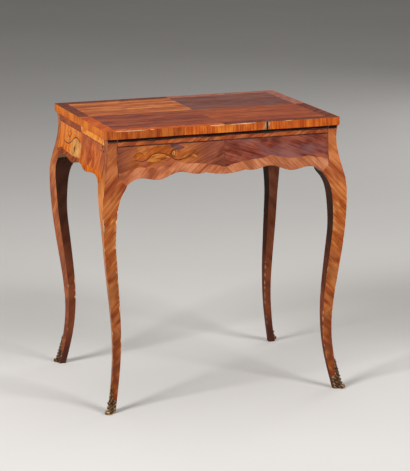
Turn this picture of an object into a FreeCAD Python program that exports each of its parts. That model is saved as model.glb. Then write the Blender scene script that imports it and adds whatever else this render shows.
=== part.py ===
"""Writing table on four cabriole legs, with one drawer in its right end.

Millimetres. The origin is on the floor under the middle of the table, the front faces -Y,
the drawer end faces +X and +Z is up.
"""
import FreeCAD, Part
import Sketcher
import math
import os
import re

from FreeCAD import Placement, Rotation, Vector

SIZES = {
    # the whole table
    "table_width": 624,
    "table_depth": 482,
    "table_height": 720,
    "overhang": 5,
    # the top: a board, saw-cut veneer on its face and banding round its edge
    "top_thickness": 20,
    "veneer_thickness": 1.2,
    "edge_thickness": 1.5,
    "border_width": 30,
    "corner_radius": 5,
    "corner_setback": 1,
    "cusp_offset": 105,
    "cusp_depth": 4,
    # posts and aprons
    "post_width": 46,
    "apron_thickness": 22,
    "tenon_length": 25,
    "tenon_setback": 9,
    "tenon_thickness": 8,
    "tenon_top_drop": 12,
    "tenon_bottom_drop": 95,
    "peg_radius": 3,
    "peg_length": 26,
    "peg_cover": 3,
    "peg_reach": 12,
    "peg_inset": 13,
    # the lower edge of the aprons, as drops below the top board
    "front_centre_drop": 104,
    "front_cusp_offset": 53,
    "front_cusp_drop": 97,
    "front_tongue_offset": 80,
    "front_tongue_drop": 99,
    "front_arch_from_post": 137,
    "front_arch_drop": 92,
    "front_lobe_from_post": 86,
    "front_lobe_drop": 107,
    "end_centre_drop": 98,
    "end_centre_offset": 22,
    "end_lobe_from_post": 100,
    "end_lobe_drop": 106,
    "haunch_from_post": 42,
    "haunch_drop": 101,
    # the drawer end
    "upper_rail_height": 20,
    "rail_setback": 1,
    "bearer_height": 14,
    "bearer_drop": 94,
    "rail_tenon_length": 15,
    "bearer_tenon_setback": 5,
    "rail_tenon_margin": 3,
    "drawer_gap": 0.8,
    "runner_width": 46,
    "guide_height": 22,
    "kicker_width": 41,
    "kicker_height": 24,
    "running_gap": 0.3,
    # the drawer
    "drawer_length": 511,
    "side_thickness": 10,
    "side_height": 54,
    "tail_length": 12,
    "tail_width": 20,
    "tail_slope": 3,
    "back_thickness": 10,
    "back_height": 36,
    "back_housing": 4,
    "back_setback": 6,
    "bottom_thickness": 6,
    "bottom_rise": 8,
    "groove_depth": 5,
    "divider_thickness": 6,
    "divider_height": 30,
    "divider_from_front": 105,
    "nail_radius": 0.9,
    "nail_length": 22,
    "nail_spacing": 110,
    # the lock and its key
    "case_width": 54,
    "case_height": 39,
    "case_depth": 11,
    "case_proud": 2,
    "case_wall": 2,
    "plate_margin": 9,
    "key_height": 24,
    "key_radius": 2.4,
    "key_clearance": 0.1,
    "key_end_gap": 0.5,
    "slot_gap": 0.4,
    "bit_length": 8,
    "bit_width": 3.5,
    "bit_thickness": 2,
    "bow_radius": 6.2,
    "bow_wire": 1.8,
    "collar_radius": 3.6,
    "collar_length": 2,
    "bolt_width": 24,
    "bolt_height": 15,
    "bolt_thickness": 4.8,
    "bolt_gap": 0.2,
    "bolt_throw": 8,
    "keeper_width": 44,
    "keeper_depth": 14,
    "keeper_thickness": 1.2,
    "keeper_slot_gap": 0.4,
    "keeper_pin_radius": 1,
    "keeper_pin_length": 10,
    "keeper_pin_offset": 18,
    "mortise_spare": 2,
    "escutcheon_radius": 10,
    "escutcheon_thickness": 1.8,
    "escutcheon_let_in": 1.2,
    # fixings
    "screw_radius": 2,
    "screw_length": 38,
    "screw_head_radius": 4,
    "screw_head_height": 2.6,
    "screw_spacing": 200,
    "lock_screw_radius": 1.2,
    "lock_screw_length": 9,
    "glue_block_length": 60,
    "glue_block_side": 20,
    "glue_block_spacing": 110,
    "fit_gap": 0.03,
    # the foot mounts
    "sabot_wall": 2,
    "sabot_lip": 4,
    "sabot_sole": 2,
    "sabot_height": 76,
    "sabot_collar": 8,
    "scroll_radius": 6,
    "scroll_length": 15,
    "sabot_pin_radius": 1,
    "sabot_pin_length": 12,
    "sabot_pin_height": 4.5,
    "leaf_pin_height": 62,
}

# Where the leg's outer arris stands and how the leg is shaped at each height: how far the arris
# leans out of the post's corner, how wide the leg's long-side face and its end face are and how
# many degrees those two turn inwards. Its inner faces are square to the frame. The post's own
# widths follow from post_width.
POST_STATIONS = {
    "post_top": {"drop": 0, "out": 0},
    "post_waist": {"drop": 50, "out": -2},
    "post_foot": {"drop": 95, "out": 6},
    "ear": {"drop": 118, "out": 11.5},
}
LEG_STATIONS = {
    "shoulder": {"drop": 150, "out": 17.3, "face": 45, "end_face": 50, "turn": 2},
    "knee": {"drop": 200, "out": 18.6, "face": 37.2, "end_face": 47.3, "turn": 6},
    "under_knee": {"height": 450, "out": 16.6, "face": 33, "end_face": 43.7, "turn": 9},
    "upper_shin": {"height": 390, "out": 11.8, "face": 31.5, "end_face": 41.3, "turn": 10},
    "shin": {"height": 330, "out": 5, "face": 29.5, "end_face": 38.7, "turn": 10},
    "calf": {"height": 270, "out": -2.2, "face": 27.2, "end_face": 33.8, "turn": 10},
    "lower_calf": {"height": 215, "out": -7.3, "face": 25, "end_face": 28.3, "turn": 10},
    "ankle": {"height": 160, "out": -9.2, "face": 22.8, "end_face": 23.4, "turn": 10},
    "heel": {"height": 105, "out": -5.9, "face": 21.3, "end_face": 21.3, "turn": 10},
    "instep": {"height": 55, "out": 1, "face": 20.1, "end_face": 20.1, "turn": 10},
    "toe": {"out": 11.5, "face": 19.7, "end_face": 19.7, "turn": 8},
}
for stations in (POST_STATIONS, LEG_STATIONS):
    for station, values in stations.items():
        for quantity, number in values.items():
            SIZES[f"{station}_{quantity}"] = number

DERIVED = {
    "frame_top": "table_height - top_thickness",
    "half_width": "table_width / 2",
    "half_depth": "table_depth / 2",
    "frame_x": "table_width / 2 - overhang",
    "frame_y": "table_depth / 2 - overhang",
    "post_x": "table_width / 2 - overhang - post_width",
    "post_y": "table_depth / 2 - overhang - post_width",
    "inner_x": "table_width / 2 - overhang - apron_thickness",
    "inner_y": "table_depth / 2 - overhang - apron_thickness",
    "veneer_bottom": "table_height - veneer_thickness",
    "rail_bottom": "frame_top - upper_rail_height",
    "bearer_bottom": "frame_top - bearer_drop",
    "bearer_top": "frame_top - bearer_drop + bearer_height",
    "drawer_top": "rail_bottom - drawer_gap",
    "drawer_y": "post_y - drawer_gap",
    "side_y": "post_y - drawer_gap - running_gap",
    "side_bottom": "bearer_top + running_gap",
    "side_top": "side_bottom + side_height",
    "drawer_back_x": "inner_x - drawer_length",
    "panel_bottom": "side_bottom + bottom_rise",
    "panel_top": "panel_bottom + bottom_thickness",
    "panel_y": "side_y - side_thickness + groove_depth",
    "tray_y": "side_y - side_thickness",
    "case_inside": "inner_x - case_proud",
    "case_outside": "inner_x - case_proud + case_depth",
    "case_bottom": "drawer_top - case_height",
    "key_z": "drawer_top - key_height",
    "bolt_x": "case_inside + case_depth / 2",
    "bolt_bottom": "drawer_top - bolt_gap - bolt_height",
    "kicker_bottom": "frame_top - kicker_height",
    "face_x": "frame_x + post_waist_out",
    "toe_height": "sabot_sole",
}

doc = FreeCAD.newDocument("writing_table")
sheet = doc.addObject("Spreadsheet::Sheet", "Sizes")
NAMES = list(SIZES) + list(DERIVED)
for row, name in enumerate(NAMES, start=1):
    sheet.set(f"A{row}", name)
    sheet.set(f"B{row}", str(SIZES[name]) if name in SIZES else f"={DERIVED[name]}")
    sheet.setAlias(f"B{row}", name)
doc.recompute()

CORNERS = {
    "front_left": (-1, -1),
    "front_right": (1, -1),
    "rear_left": (-1, 1),
    "rear_right": (1, 1),
}
nodes = []


def read(name):
    """A size from the sheet, as a number."""
    return float(getattr(sheet, name))


def tie(formula):
    """A formula whose names refer to the sheet's cells."""
    return re.sub(r"[a-z_]+", lambda word: f"Sizes.{word[0]}" if word[0] in NAMES else word[0], formula)


def read_formula(formula):
    """What a formula of the sheet's sizes comes to."""
    return float(sheet.evalExpression(tie(formula).replace("Sizes.", "")))


def sided(sign, low, high):
    """The same two faces on the positive or the negative side of the middle plane."""
    return (low, high) if sign > 0 else (f"-({high})", f"-({low})")


def keep(piece, label):
    """Count a finished piece as a node of its own."""
    piece.Label = label
    nodes.append(piece)
    return piece


def block(name, x, y, z):
    """A rectangular piece between three pairs of faces."""
    piece = doc.addObject("Part::Box", name)
    for axis, side, (low, high) in zip("xyz", ("Length", "Width", "Height"), (x, y, z)):
        piece.setExpression(side, tie(f"({high}) - ({low})"))
        piece.setExpression(f"Placement.Base.{axis}", tie(low))
    return piece


def place(piece, start):
    for axis, formula in zip("xyz", start):
        piece.setExpression(f"Placement.Base.{axis}", tie(formula))


TURNS = {
    "+x": Rotation(Vector(0, 1, 0), 90),
    "-x": Rotation(Vector(0, 1, 0), -90),
    "+y": Rotation(Vector(1, 0, 0), -90),
    "-y": Rotation(Vector(1, 0, 0), 90),
    "+z": Rotation(),
}


def rod(name, radius, length, start, way):
    """A round piece that runs from its start along one axis."""
    piece = doc.addObject("Part::Cylinder", name)
    piece.Placement = Placement(Vector(), TURNS[way])
    piece.setExpression("Radius", tie(radius))
    piece.setExpression("Height", tie(length))
    place(piece, start)
    return piece


def taper(name, radii, length, start, way):
    """A conical piece, such as the head of a countersunk screw."""
    piece = doc.addObject("Part::Cone", name)
    piece.Placement = Placement(Vector(), TURNS[way])
    piece.setExpression("Radius1", tie(radii[0]))
    piece.setExpression("Radius2", tie(radii[1]))
    piece.setExpression("Height", tie(length))
    place(piece, start)
    return piece


def shaped(name, shape, turn=0):
    """A piece whose shape is worked out below, turned about the table's middle."""
    piece = doc.addObject("Part::Feature", name)
    piece.Shape = shape
    piece.Placement = Placement(Vector(), Rotation(Vector(0, 0, 1), turn))
    return piece


def join(name, *parts):
    piece = doc.addObject("Part::MultiFuse", name)
    piece.Shapes = list(parts)
    return piece


def cut(name, base, *tools):
    piece = doc.addObject("Part::Cut", name)
    piece.Base = base
    piece.Tool = tools[0] if len(tools) == 1 else join(f"{name}_cutters", *tools)
    return piece


def group(label, parts):
    """Like pieces that share a node as separate solids."""
    piece = doc.addObject("Part::Compound", f"group_{label}")
    piece.Links = list(parts)
    return keep(piece, label)


def outline_body(label, points, thickness):
    """A board sawn to an outline of straight lines, in its own XZ plane, padded along its own -Y."""
    body = doc.addObject("PartDesign::Body", f"body_{label}")
    sketch = body.newObject("Sketcher::SketchObject", f"outline_{label}")
    planes = {plane.Role: plane for plane in body.Origin.OriginFeatures}
    sketch.AttachmentSupport = [(planes["XZ_Plane"], "")]
    sketch.MapMode = "FlatFace"
    read_points = [Vector(read_formula(x), read_formula(z), 0) for x, z in points]
    count = len(points)
    for index in range(count):
        sketch.addGeometry(Part.LineSegment(read_points[index], read_points[(index + 1) % count]), False)
    for index in range(count):
        sketch.addConstraint(Sketcher.Constraint("Coincident", index, 2, (index + 1) % count, 1))
    for index, (x, z) in enumerate(points):
        for kind, formula in (("DistanceX", x), ("DistanceY", z)):
            number = sketch.addConstraint(
                Sketcher.Constraint(kind, -1, 1, index, 1, read_formula(formula)))
            sketch.setExpression(f"Constraints[{number}]", tie(formula))
    pad = body.newObject("PartDesign::Pad", f"pad_{label}")
    pad.Profile = sketch
    pad.setExpression("Length", tie(thickness))
    return body


def line(start, end):
    return Part.LineSegment(start, end).toShape()


def bow(start, through, end):
    return Part.Arc(start, through, end).toShape()


def curve(points):
    """One smooth edge through its points."""
    spline = Part.BSplineCurve()
    spline.interpolate(points)
    return spline.toShape()


def slab(edges, low, high):
    """A flat outline at z = 0, raised to lie between two heights."""
    face = Part.Face(Part.Wire(edges))
    face.translate(Vector(0, 0, low))
    return face.extrude(Vector(0, 0, high - low))


def solid_box(x, y, z):
    """A plain block between number pairs, for trimming other shapes."""
    return Part.makeBox(x[1] - x[0], y[1] - y[0], z[1] - z[0], Vector(x[0], y[0], z[0]))


# The top


def top_outline(inset):
    """The top seen from above: rounded corners and a front in three shallow lobes."""
    x = read("half_width") - inset
    y = read("half_depth") - inset
    radius = read("corner_radius") - inset
    front = read("corner_setback") - y
    cusp = Vector(read("cusp_offset"), read("cusp_depth") - y, 0)
    lobe_x = (x - radius + cusp.x) / 2
    bend = radius * (1 - math.sqrt(0.5))
    half = [
        bow(Vector(0, -y, 0), Vector(cusp.x / 2, -y + read("cusp_depth") / 4, 0), cusp),
        bow(cusp, Vector(lobe_x, -y, 0), Vector(x - radius, front, 0)),
        bow(Vector(x - radius, front, 0), Vector(x - bend, front + bend, 0), Vector(x, front + radius, 0)),
        line(Vector(x, front + radius, 0), Vector(x, y - radius, 0)),
        bow(Vector(x, y - radius, 0), Vector(x - bend, y - bend, 0), Vector(x - radius, y, 0)),
        line(Vector(x - radius, y, 0), Vector(0, y, 0)),
    ]
    other = [edge.mirror(Vector(), Vector(1, 0, 0)) for edge in reversed(half)]
    return half + other


def make_top():
    """Core board, veneers laid in quarters, borders and edge banding."""
    bottom = read("frame_top")
    top = read("table_height")
    seam = read("veneer_bottom")
    reach = read("table_width") + read("table_depth")
    inset = read("edge_thickness")
    core = shaped("core_board", slab(top_outline(inset), bottom, seam))
    holes = [top_screw(f"core_hole_{name}", spot, "fit_gap") for name, spot in screw_spots().items()]
    keep(cut("bored_core", core, *holes), "top_core")

    sheet_of_veneer = slab(top_outline(inset), seam, top)
    field_x = read("half_width") - read("border_width")
    field_y = read("half_depth") - read("border_width")
    field = solid_box((-field_x, field_x), (-field_y, field_y), (seam, top))
    border = sheet_of_veneer.cut(field)
    for corner, (side, end) in CORNERS.items():
        quarter = solid_box(sorted((0, side * reach)), sorted((0, end * reach)), (seam, top))
        keep(shaped(f"field_{corner}", field.common(quarter)), f"top_field_{corner}")
        keep(shaped(f"border_{corner}", border.common(quarter)), f"top_border_{corner}")

    banding = slab(top_outline(0), bottom, top).cut(slab(top_outline(inset), bottom, top))
    cusp = read("cusp_offset")
    end = read("half_width") - read("corner_radius")
    back = read("half_depth") - read("corner_radius")
    front = read("corner_setback") + read("corner_radius") - read("half_depth")
    lengths = {
        "front_left": ((-reach, -cusp), (-reach, front)),
        "front_centre": ((-cusp, cusp), (-reach, front)),
        "front_right": ((cusp, reach), (-reach, front)),
        "left": ((-reach, -end), (front, back)),
        "right": ((end, reach), (front, back)),
        "back": ((-reach, reach), (back, reach)),
    }
    for name, (x, y) in lengths.items():
        keep(shaped(f"edge_{name}", banding.common(solid_box(x, y, (bottom, top)))), f"top_edge_{name}")


def screw_spots():
    """Where the screws go up through the kickers into the top."""
    middle = "(inner_y - kicker_width / 2)"
    return {
        f"{place_name}_{side}": (f"{step} * screw_spacing", f"{sign} * {middle}")
        for side, sign in (("front", -1), ("rear", 1))
        for place_name, step in (("left", -1), ("middle", 0), ("right", 1))
    }


def top_screw(name, spot, gap):
    """A countersunk screw from the underside of a kicker, or with a gap, the hole for it."""
    head = taper(f"{name}_head", (f"screw_head_radius + {gap}", f"screw_radius + {gap}"), "screw_head_height",
                 (*spot, "kicker_bottom"), "+z")
    shank = rod(f"{name}_shank", f"screw_radius + {gap}", "screw_length", (*spot, "kicker_bottom"), "+z")
    return join(name, head, shank)


# Aprons and the drawer front, drawn facing -Y and then turned to their side


def front_edge(span):
    """The scalloped lower edge of a long apron, from its middle to the post."""
    top = read("frame_top")

    def point(x, drop):
        return Vector(x, 0, top - read(drop))

    cusp = point(read("front_cusp_offset"), "front_cusp_drop")
    middle = point(0, "front_centre_drop")
    quarter = Vector(cusp.x / 2, 0, middle.z + (cusp.z - middle.z) / 4)
    return [
        bow(middle, quarter, cusp),
        curve([
            cusp,
            point(read("front_tongue_offset"), "front_tongue_drop"),
            point(span - read("front_arch_from_post"), "front_arch_drop"),
            point(span - read("front_lobe_from_post"), "front_lobe_drop"),
            point(span - read("haunch_from_post"), "haunch_drop"),
            point(span, "ear_drop"),
        ]),
    ]


def end_edge(span):
    """The scalloped lower edge of an end, from its middle to the post."""
    top = read("frame_top")
    flat = top - read("end_centre_drop")
    return [
        line(Vector(0, 0, flat), Vector(read("end_centre_offset"), 0, flat)),
        curve([
            Vector(read("end_centre_offset"), 0, flat),
            Vector(span - read("end_lobe_from_post"), 0, top - read("end_lobe_drop")),
            Vector(span - read("haunch_from_post"), 0, top - read("haunch_drop")),
            Vector(span, 0, top - read("ear_drop")),
        ]),
    ]


def behind_face(span, reach, depth):
    """What lies behind a side's face, which hollows and then flares, for a span either way and a depth."""
    face_points = [
        Vector(-span, -(reach + read(f"{station}_out")), read("frame_top") - read(f"{station}_drop"))
        for station in POST_STATIONS
    ]
    low = Vector(-span, depth - reach, face_points[-1].z)
    high = Vector(-span, depth - reach, face_points[0].z)
    profile = Part.Face(Part.Wire([
        curve(face_points),
        line(face_points[-1], low),
        line(low, high),
        line(high, face_points[0]),
    ]))
    return profile.extrude(Vector(2 * span, 0, 0))


def apron_board(span, reach, top, lower_edge):
    """A board with a scalloped lower edge and a face that hollows and then flares like the posts."""
    ear = read("frame_top") - read("ear_drop")
    half = lower_edge + [
        line(Vector(span, 0, ear), Vector(span, 0, top)),
        line(Vector(span, 0, top), Vector(0, 0, top)),
    ]
    other = [edge.mirror(Vector(), Vector(1, 0, 0)) for edge in reversed(half)]
    elevation = Part.Face(Part.Wire(half + other))
    elevation.translate(Vector(0, -2 * reach, 0))
    elevation = elevation.extrude(Vector(0, 2 * reach, 0))

    return elevation.common(behind_face(span, reach, read("apron_thickness")))


def apron_tenon(name, along, side, end):
    """A tenon of the apron that runs along X or Y, into the post at one corner."""
    across = ("tenon_setback", "tenon_setback + tenon_thickness")
    if along == "x":
        x = sided(side, "post_x", "post_x + tenon_length")
        y = sided(end, f"frame_y - ({across[1]})", f"frame_y - ({across[0]})")
    else:
        x = sided(side, f"frame_x - ({across[1]})", f"frame_x - ({across[0]})")
        y = sided(end, "post_y", "post_y + tenon_length")
    return block(name, x, y, ("frame_top - tenon_bottom_drop", "frame_top - tenon_top_drop"))


def joint_pegs(name, along, side, end, gap):
    """Two pegs across a tenon, or with a gap, the holes for them."""
    heights = ("frame_top - tenon_top_drop - peg_reach", "frame_top - tenon_bottom_drop + peg_reach")
    pegs = []
    for level, height in zip(("upper", "lower"), heights):
        if along == "x":
            start = (f"{side} * (post_x + peg_inset)", f"{end} * (frame_y - peg_cover)", height)
            way = "-y" if end > 0 else "+y"
        else:
            start = (f"{side} * (frame_x - peg_cover)", f"{end} * (post_y + peg_inset)", height)
            way = "-x" if side > 0 else "+x"
        pegs.append(rod(f"{name}_{level}", f"peg_radius + {gap}", "peg_length", start, way))
    return pegs


APRONS = {
    "front": ("x", 0, ("front_left", "front_right")),
    "rear": ("x", 180, ("rear_left", "rear_right")),
    "left": ("y", -90, ("front_left", "rear_left")),
}


def make_aprons():
    """Three aprons, tenoned into the posts. Gives back what each post has to be cut for."""
    recesses = {corner: [] for corner in CORNERS}
    pegs = []
    for side_name, (along, turn, corners) in APRONS.items():
        span, reach = ("post_x", "frame_y") if along == "x" else ("post_y", "frame_x")
        edge = front_edge(read(span)) if along == "x" else end_edge(read(span))
        blank = apron_board(read(span), read(reach), read("frame_top"), edge)
        board = shaped(f"board_{side_name}", blank, turn)
        tenons = []
        holes = []
        for corner in corners:
            side, end = CORNERS[corner]
            joint = f"{side_name}_{corner}"
            tenon = apron_tenon(f"tenon_{joint}", along, side, end)
            bores = joint_pegs(f"bore_{joint}", along, side, end, "fit_gap")
            pegs += joint_pegs(f"peg_{joint}", along, side, end, "0")
            tenons.append(tenon)
            holes += bores
            recesses[corner] += [tenon, *bores]
        tenoned = join(f"tenoned_{side_name}", board, *tenons)
        keep(cut(f"pegged_{side_name}", tenoned, *holes), f"apron_{side_name}")
    group("tenon_pegs", pegs)
    return recesses


# The drawer end's fixed pieces


def make_drawer_frame(recesses):
    """Rails between the right posts, and what the drawer runs on."""
    rail_z = ("rail_bottom", "frame_top")
    bearer_z = ("bearer_bottom", "bearer_top")
    rail = [block("rail_bar", ("post_x", "frame_x - rail_setback"), ("-post_y", "post_y"), rail_z)]
    bearer = [block("bearer_bar", ("post_x", "inner_x - running_gap"), ("-post_y", "post_y"), bearer_z)]
    for corner in ("front_right", "rear_right"):
        end = CORNERS[corner][1]
        y = sided(end, "post_y", "post_y + rail_tenon_length")
        rail_tenon = block(f"rail_tenon_{corner}", ("inner_x", "inner_x + tenon_thickness"), y,
                           ("rail_bottom + rail_tenon_margin", "frame_top - rail_tenon_margin"))
        bearer_x = "post_x + bearer_tenon_setback"
        bearer_tenon = block(f"bearer_tenon_{corner}", (bearer_x, f"{bearer_x} + tenon_thickness"), y,
                             ("bearer_bottom + rail_tenon_margin", "bearer_top - rail_tenon_margin"))
        rail.append(rail_tenon)
        bearer.append(bearer_tenon)
        recesses[corner] += [rail_tenon, bearer_tenon]
    keep(join("bearer", *bearer), "right_bearer_rail")

    slot_x = "(bolt_thickness / 2 + keeper_slot_gap)"
    slot_y = "(bolt_width / 2 + keeper_slot_gap)"
    mortise = block("bolt_mortise", (f"bolt_x - {slot_x}", f"bolt_x + {slot_x}"), (f"-{slot_y}", slot_y),
                    ("rail_bottom - drawer_gap", "rail_bottom + bolt_throw + mortise_spare"))
    plate = block("keeper_plate", ("bolt_x - keeper_depth / 2", "bolt_x + keeper_depth / 2"),
                  ("-keeper_width / 2", "keeper_width / 2"),
                  ("rail_bottom", "rail_bottom + keeper_thickness"))
    pins = []
    pin_holes = []
    for side_name, sign in (("front", -1), ("rear", 1)):
        spot = ("bolt_x", f"{sign} * keeper_pin_offset", "rail_bottom")
        pins.append(rod(f"keeper_pin_{side_name}", "keeper_pin_radius", "keeper_pin_length", spot, "+z"))
        pin_holes.append(rod(f"keeper_hole_{side_name}", "keeper_pin_radius + fit_gap", "keeper_pin_length",
                             spot, "+z"))
    keep(cut("keeper", plate, mortise, *pin_holes), "lock_keeper")
    group("keeper_pins", pins)
    keep(cut("slotted_rail", join("rail", *rail), plate, mortise, *pin_holes), "right_upper_rail")

    along = ("-post_x", "post_x")
    screws = {name: top_screw(f"screw_{name}", spot, "0") for name, spot in screw_spots().items()}
    for side_name, sign in (("front", -1), ("rear", 1)):
        keep(block(f"runner_{side_name}", along, sided(sign, "inner_y - runner_width", "inner_y"), bearer_z),
             f"drawer_runner_{side_name}")
        keep(block(f"guide_{side_name}", along, sided(sign, "drawer_y", "inner_y"),
                   ("bearer_top", "bearer_top + guide_height")), f"drawer_guide_{side_name}")
        bar = block(f"kicker_bar_{side_name}", along, sided(sign, "inner_y - kicker_width", "inner_y"),
                    ("kicker_bottom", "frame_top"))
        holes = [top_screw(f"kicker_hole_{name}", spot, "fit_gap")
                 for name, spot in screw_spots().items() if name.endswith(side_name)]
        keep(cut(f"kicker_{side_name}", bar, *holes), f"drawer_kicker_{side_name}")
    group("top_screws", screws.values())

    blocks = []
    for name, step in (("front", -1), ("middle", 0), ("rear", 1)):
        centre = f"{step} * glue_block_spacing"
        blocks.append(block(f"glue_block_{name}", ("-inner_x", "glue_block_side - inner_x"),
                            (f"{centre} - glue_block_length / 2", f"{centre} + glue_block_length / 2"),
                            ("frame_top - glue_block_side", "frame_top")))
    group("glue_blocks", blocks)


# Legs and their foot mounts


def leg_sections(side, end, grow, lip):
    """Four-sided cross-sections of a leg, from the floor up, swollen by grow and at the arris by lip too."""
    frame_top = read("frame_top")
    rows = []
    for station in POST_STATIONS:
        out = read(f"{station}_out")
        width = read("post_width") + out
        rows.append((frame_top - read(f"{station}_drop"), out, width, width, 0))
    for station, values in LEG_STATIONS.items():
        level = frame_top - read(f"{station}_drop") if "drop" in values else read(f"{station}_height")
        quantities = ("out", "face", "end_face", "turn")
        rows.append((level, *(read(f"{station}_{quantity}") for quantity in quantities)))
    wires = []
    for level, out, face, end_face, turn in sorted(rows):
        slope = math.sin(math.radians(turn))
        run = math.cos(math.radians(turn))
        back_x = out - face * run - grow
        back_y = out - end_face * run - grow
        corners = [
            (out + grow + lip, out + grow + lip),
            (out - end_face * slope + grow, back_y),
            (back_x, back_y),
            (back_x, out - face * slope + grow),
        ]
        points = [
            Vector(side * (read("frame_x") + x), end * (read("frame_y") + y), level) for x, y in corners
        ]
        wires.append(Part.makePolygon(points + points[:1]))
    return wires


def on_diagonal(side, end, distance, level):
    """A point out from a post's corner, along the diagonal that the leg leans on."""
    step = distance / math.sqrt(2)
    return Vector(side * (read("frame_x") + step), end * (read("frame_y") + step), level)


def arris_distance(level):
    """How far out along the diagonal the arris of the foot stands at a level, near enough."""
    low, high = ("toe", "instep") if level < read("instep_height") else ("instep", "heel")
    share = (level - read(f"{low}_height")) / (read(f"{high}_height") - read(f"{low}_height"))
    out = read(f"{low}_out") + share * (read(f"{high}_out") - read(f"{low}_out"))
    return out * math.sqrt(2)


def foot_blank(side, end, swollen_leg):
    """The foot mount before it is hollowed: a leaf up the arris, a collar behind and a scroll at the toe."""
    collar = read("sabot_collar")
    height = read("sabot_height")
    spread = read("post_width")
    tip = arris_distance(height)
    heel = arris_distance(collar) - read("toe_face") * math.sqrt(0.5)
    outline = [(-spread, 0), (spread, 0), (spread, height), (tip, height), (heel, collar), (-spread, collar)]
    points = [on_diagonal(side, end, distance, level) for distance, level in outline]
    across = Vector(side, -end, 0).normalize()
    leaf = Part.Face(Part.makePolygon(points + points[:1]))
    leaf.translate(across * -spread)
    leaf = leaf.extrude(across * (2 * spread))
    sole = Part.Face(leg_sections(side, end, read("sabot_wall"), read("sabot_lip"))[0])
    sole.translate(Vector(0, 0, -read("sabot_sole")))
    sole = sole.extrude(Vector(0, 0, read("sabot_sole")))
    radius = read("scroll_radius")
    length = read("scroll_length")
    centre = on_diagonal(side, end, arris_distance(0) + radius, radius)
    scroll = Part.makeCylinder(radius, length, centre - across * (length / 2), across)
    return swollen_leg.common(leaf).fuse([sole, scroll]).removeSplitter()


def make_post(side, end):
    """The top of a leg, flush with the faces of the aprons on both sides."""
    far = read("frame_x") + read("frame_y")
    long_side = behind_face(far, read("frame_y"), read("frame_y"))
    short_side = behind_face(far, read("frame_x"), read("frame_x"))
    long_side.rotate(Vector(), Vector(0, 0, 1), 180 if end > 0 else 0)
    short_side.rotate(Vector(), Vector(0, 0, 1), 90 * side)
    x = sorted((side * read("post_x"), side * far))
    y = sorted((end * read("post_y"), end * far))
    levels = (read("frame_top") - read("ear_drop"), read("frame_top"))
    return solid_box(x, y, levels).common(long_side).common(short_side)


def make_legs(recesses):
    """Legs, foot mounts and the pins that hold the mounts."""
    pins = []
    frame_top = read("frame_top")
    ear = frame_top - read("ear_drop")
    far = read("frame_x") + read("frame_y")
    for corner, (side, end) in CORNERS.items():
        shaft = Part.makeLoft(leg_sections(side, end, 0, 0), True, False)
        shaft = shaft.cut(solid_box((-far, far), (-far, far), (ear, frame_top + far)))
        leg = shaft.fuse(make_post(side, end)).removeSplitter()
        swollen = Part.makeLoft(leg_sections(side, end, read("sabot_wall"), read("sabot_lip")), True, False)
        blank = foot_blank(side, end, swollen)
        radius = read("sabot_pin_radius")
        length = read("sabot_pin_length")
        inward = Vector(-side, -end, 0).normalize()
        leaf_level = read("leaf_pin_height")
        heel_level = read("sabot_pin_height")
        reach = read("post_width")
        leaf_start = on_diagonal(side, end, arris_distance(leaf_level) + reach, leaf_level)
        leaf_pin = Part.makeCylinder(radius, reach + length, leaf_start, inward)
        heel = arris_distance(heel_level) - read("toe_face") * math.sqrt(2)
        heel_start = on_diagonal(side, end, heel - reach, heel_level)
        heel_pin = Part.makeCylinder(radius, reach + length, heel_start, inward * -1)
        corner_pins = [leaf_pin.common(blank), heel_pin.common(blank)]
        pins += [shaped(f"sabot_pin_{corner}_{number}", pin) for number, pin in enumerate(corner_pins, 1)]
        keep(shaped(f"mount_{corner}", blank.cut([leg, *corner_pins])), f"sabot_{corner}")

        pinned = shaped(f"blank_{corner}", leg.cut(corner_pins))
        keep(cut(f"leg_cut_{corner}", pinned, *recesses[corner]), f"leg_{corner}")
    group("sabot_pins", pins)


# The drawer


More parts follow.
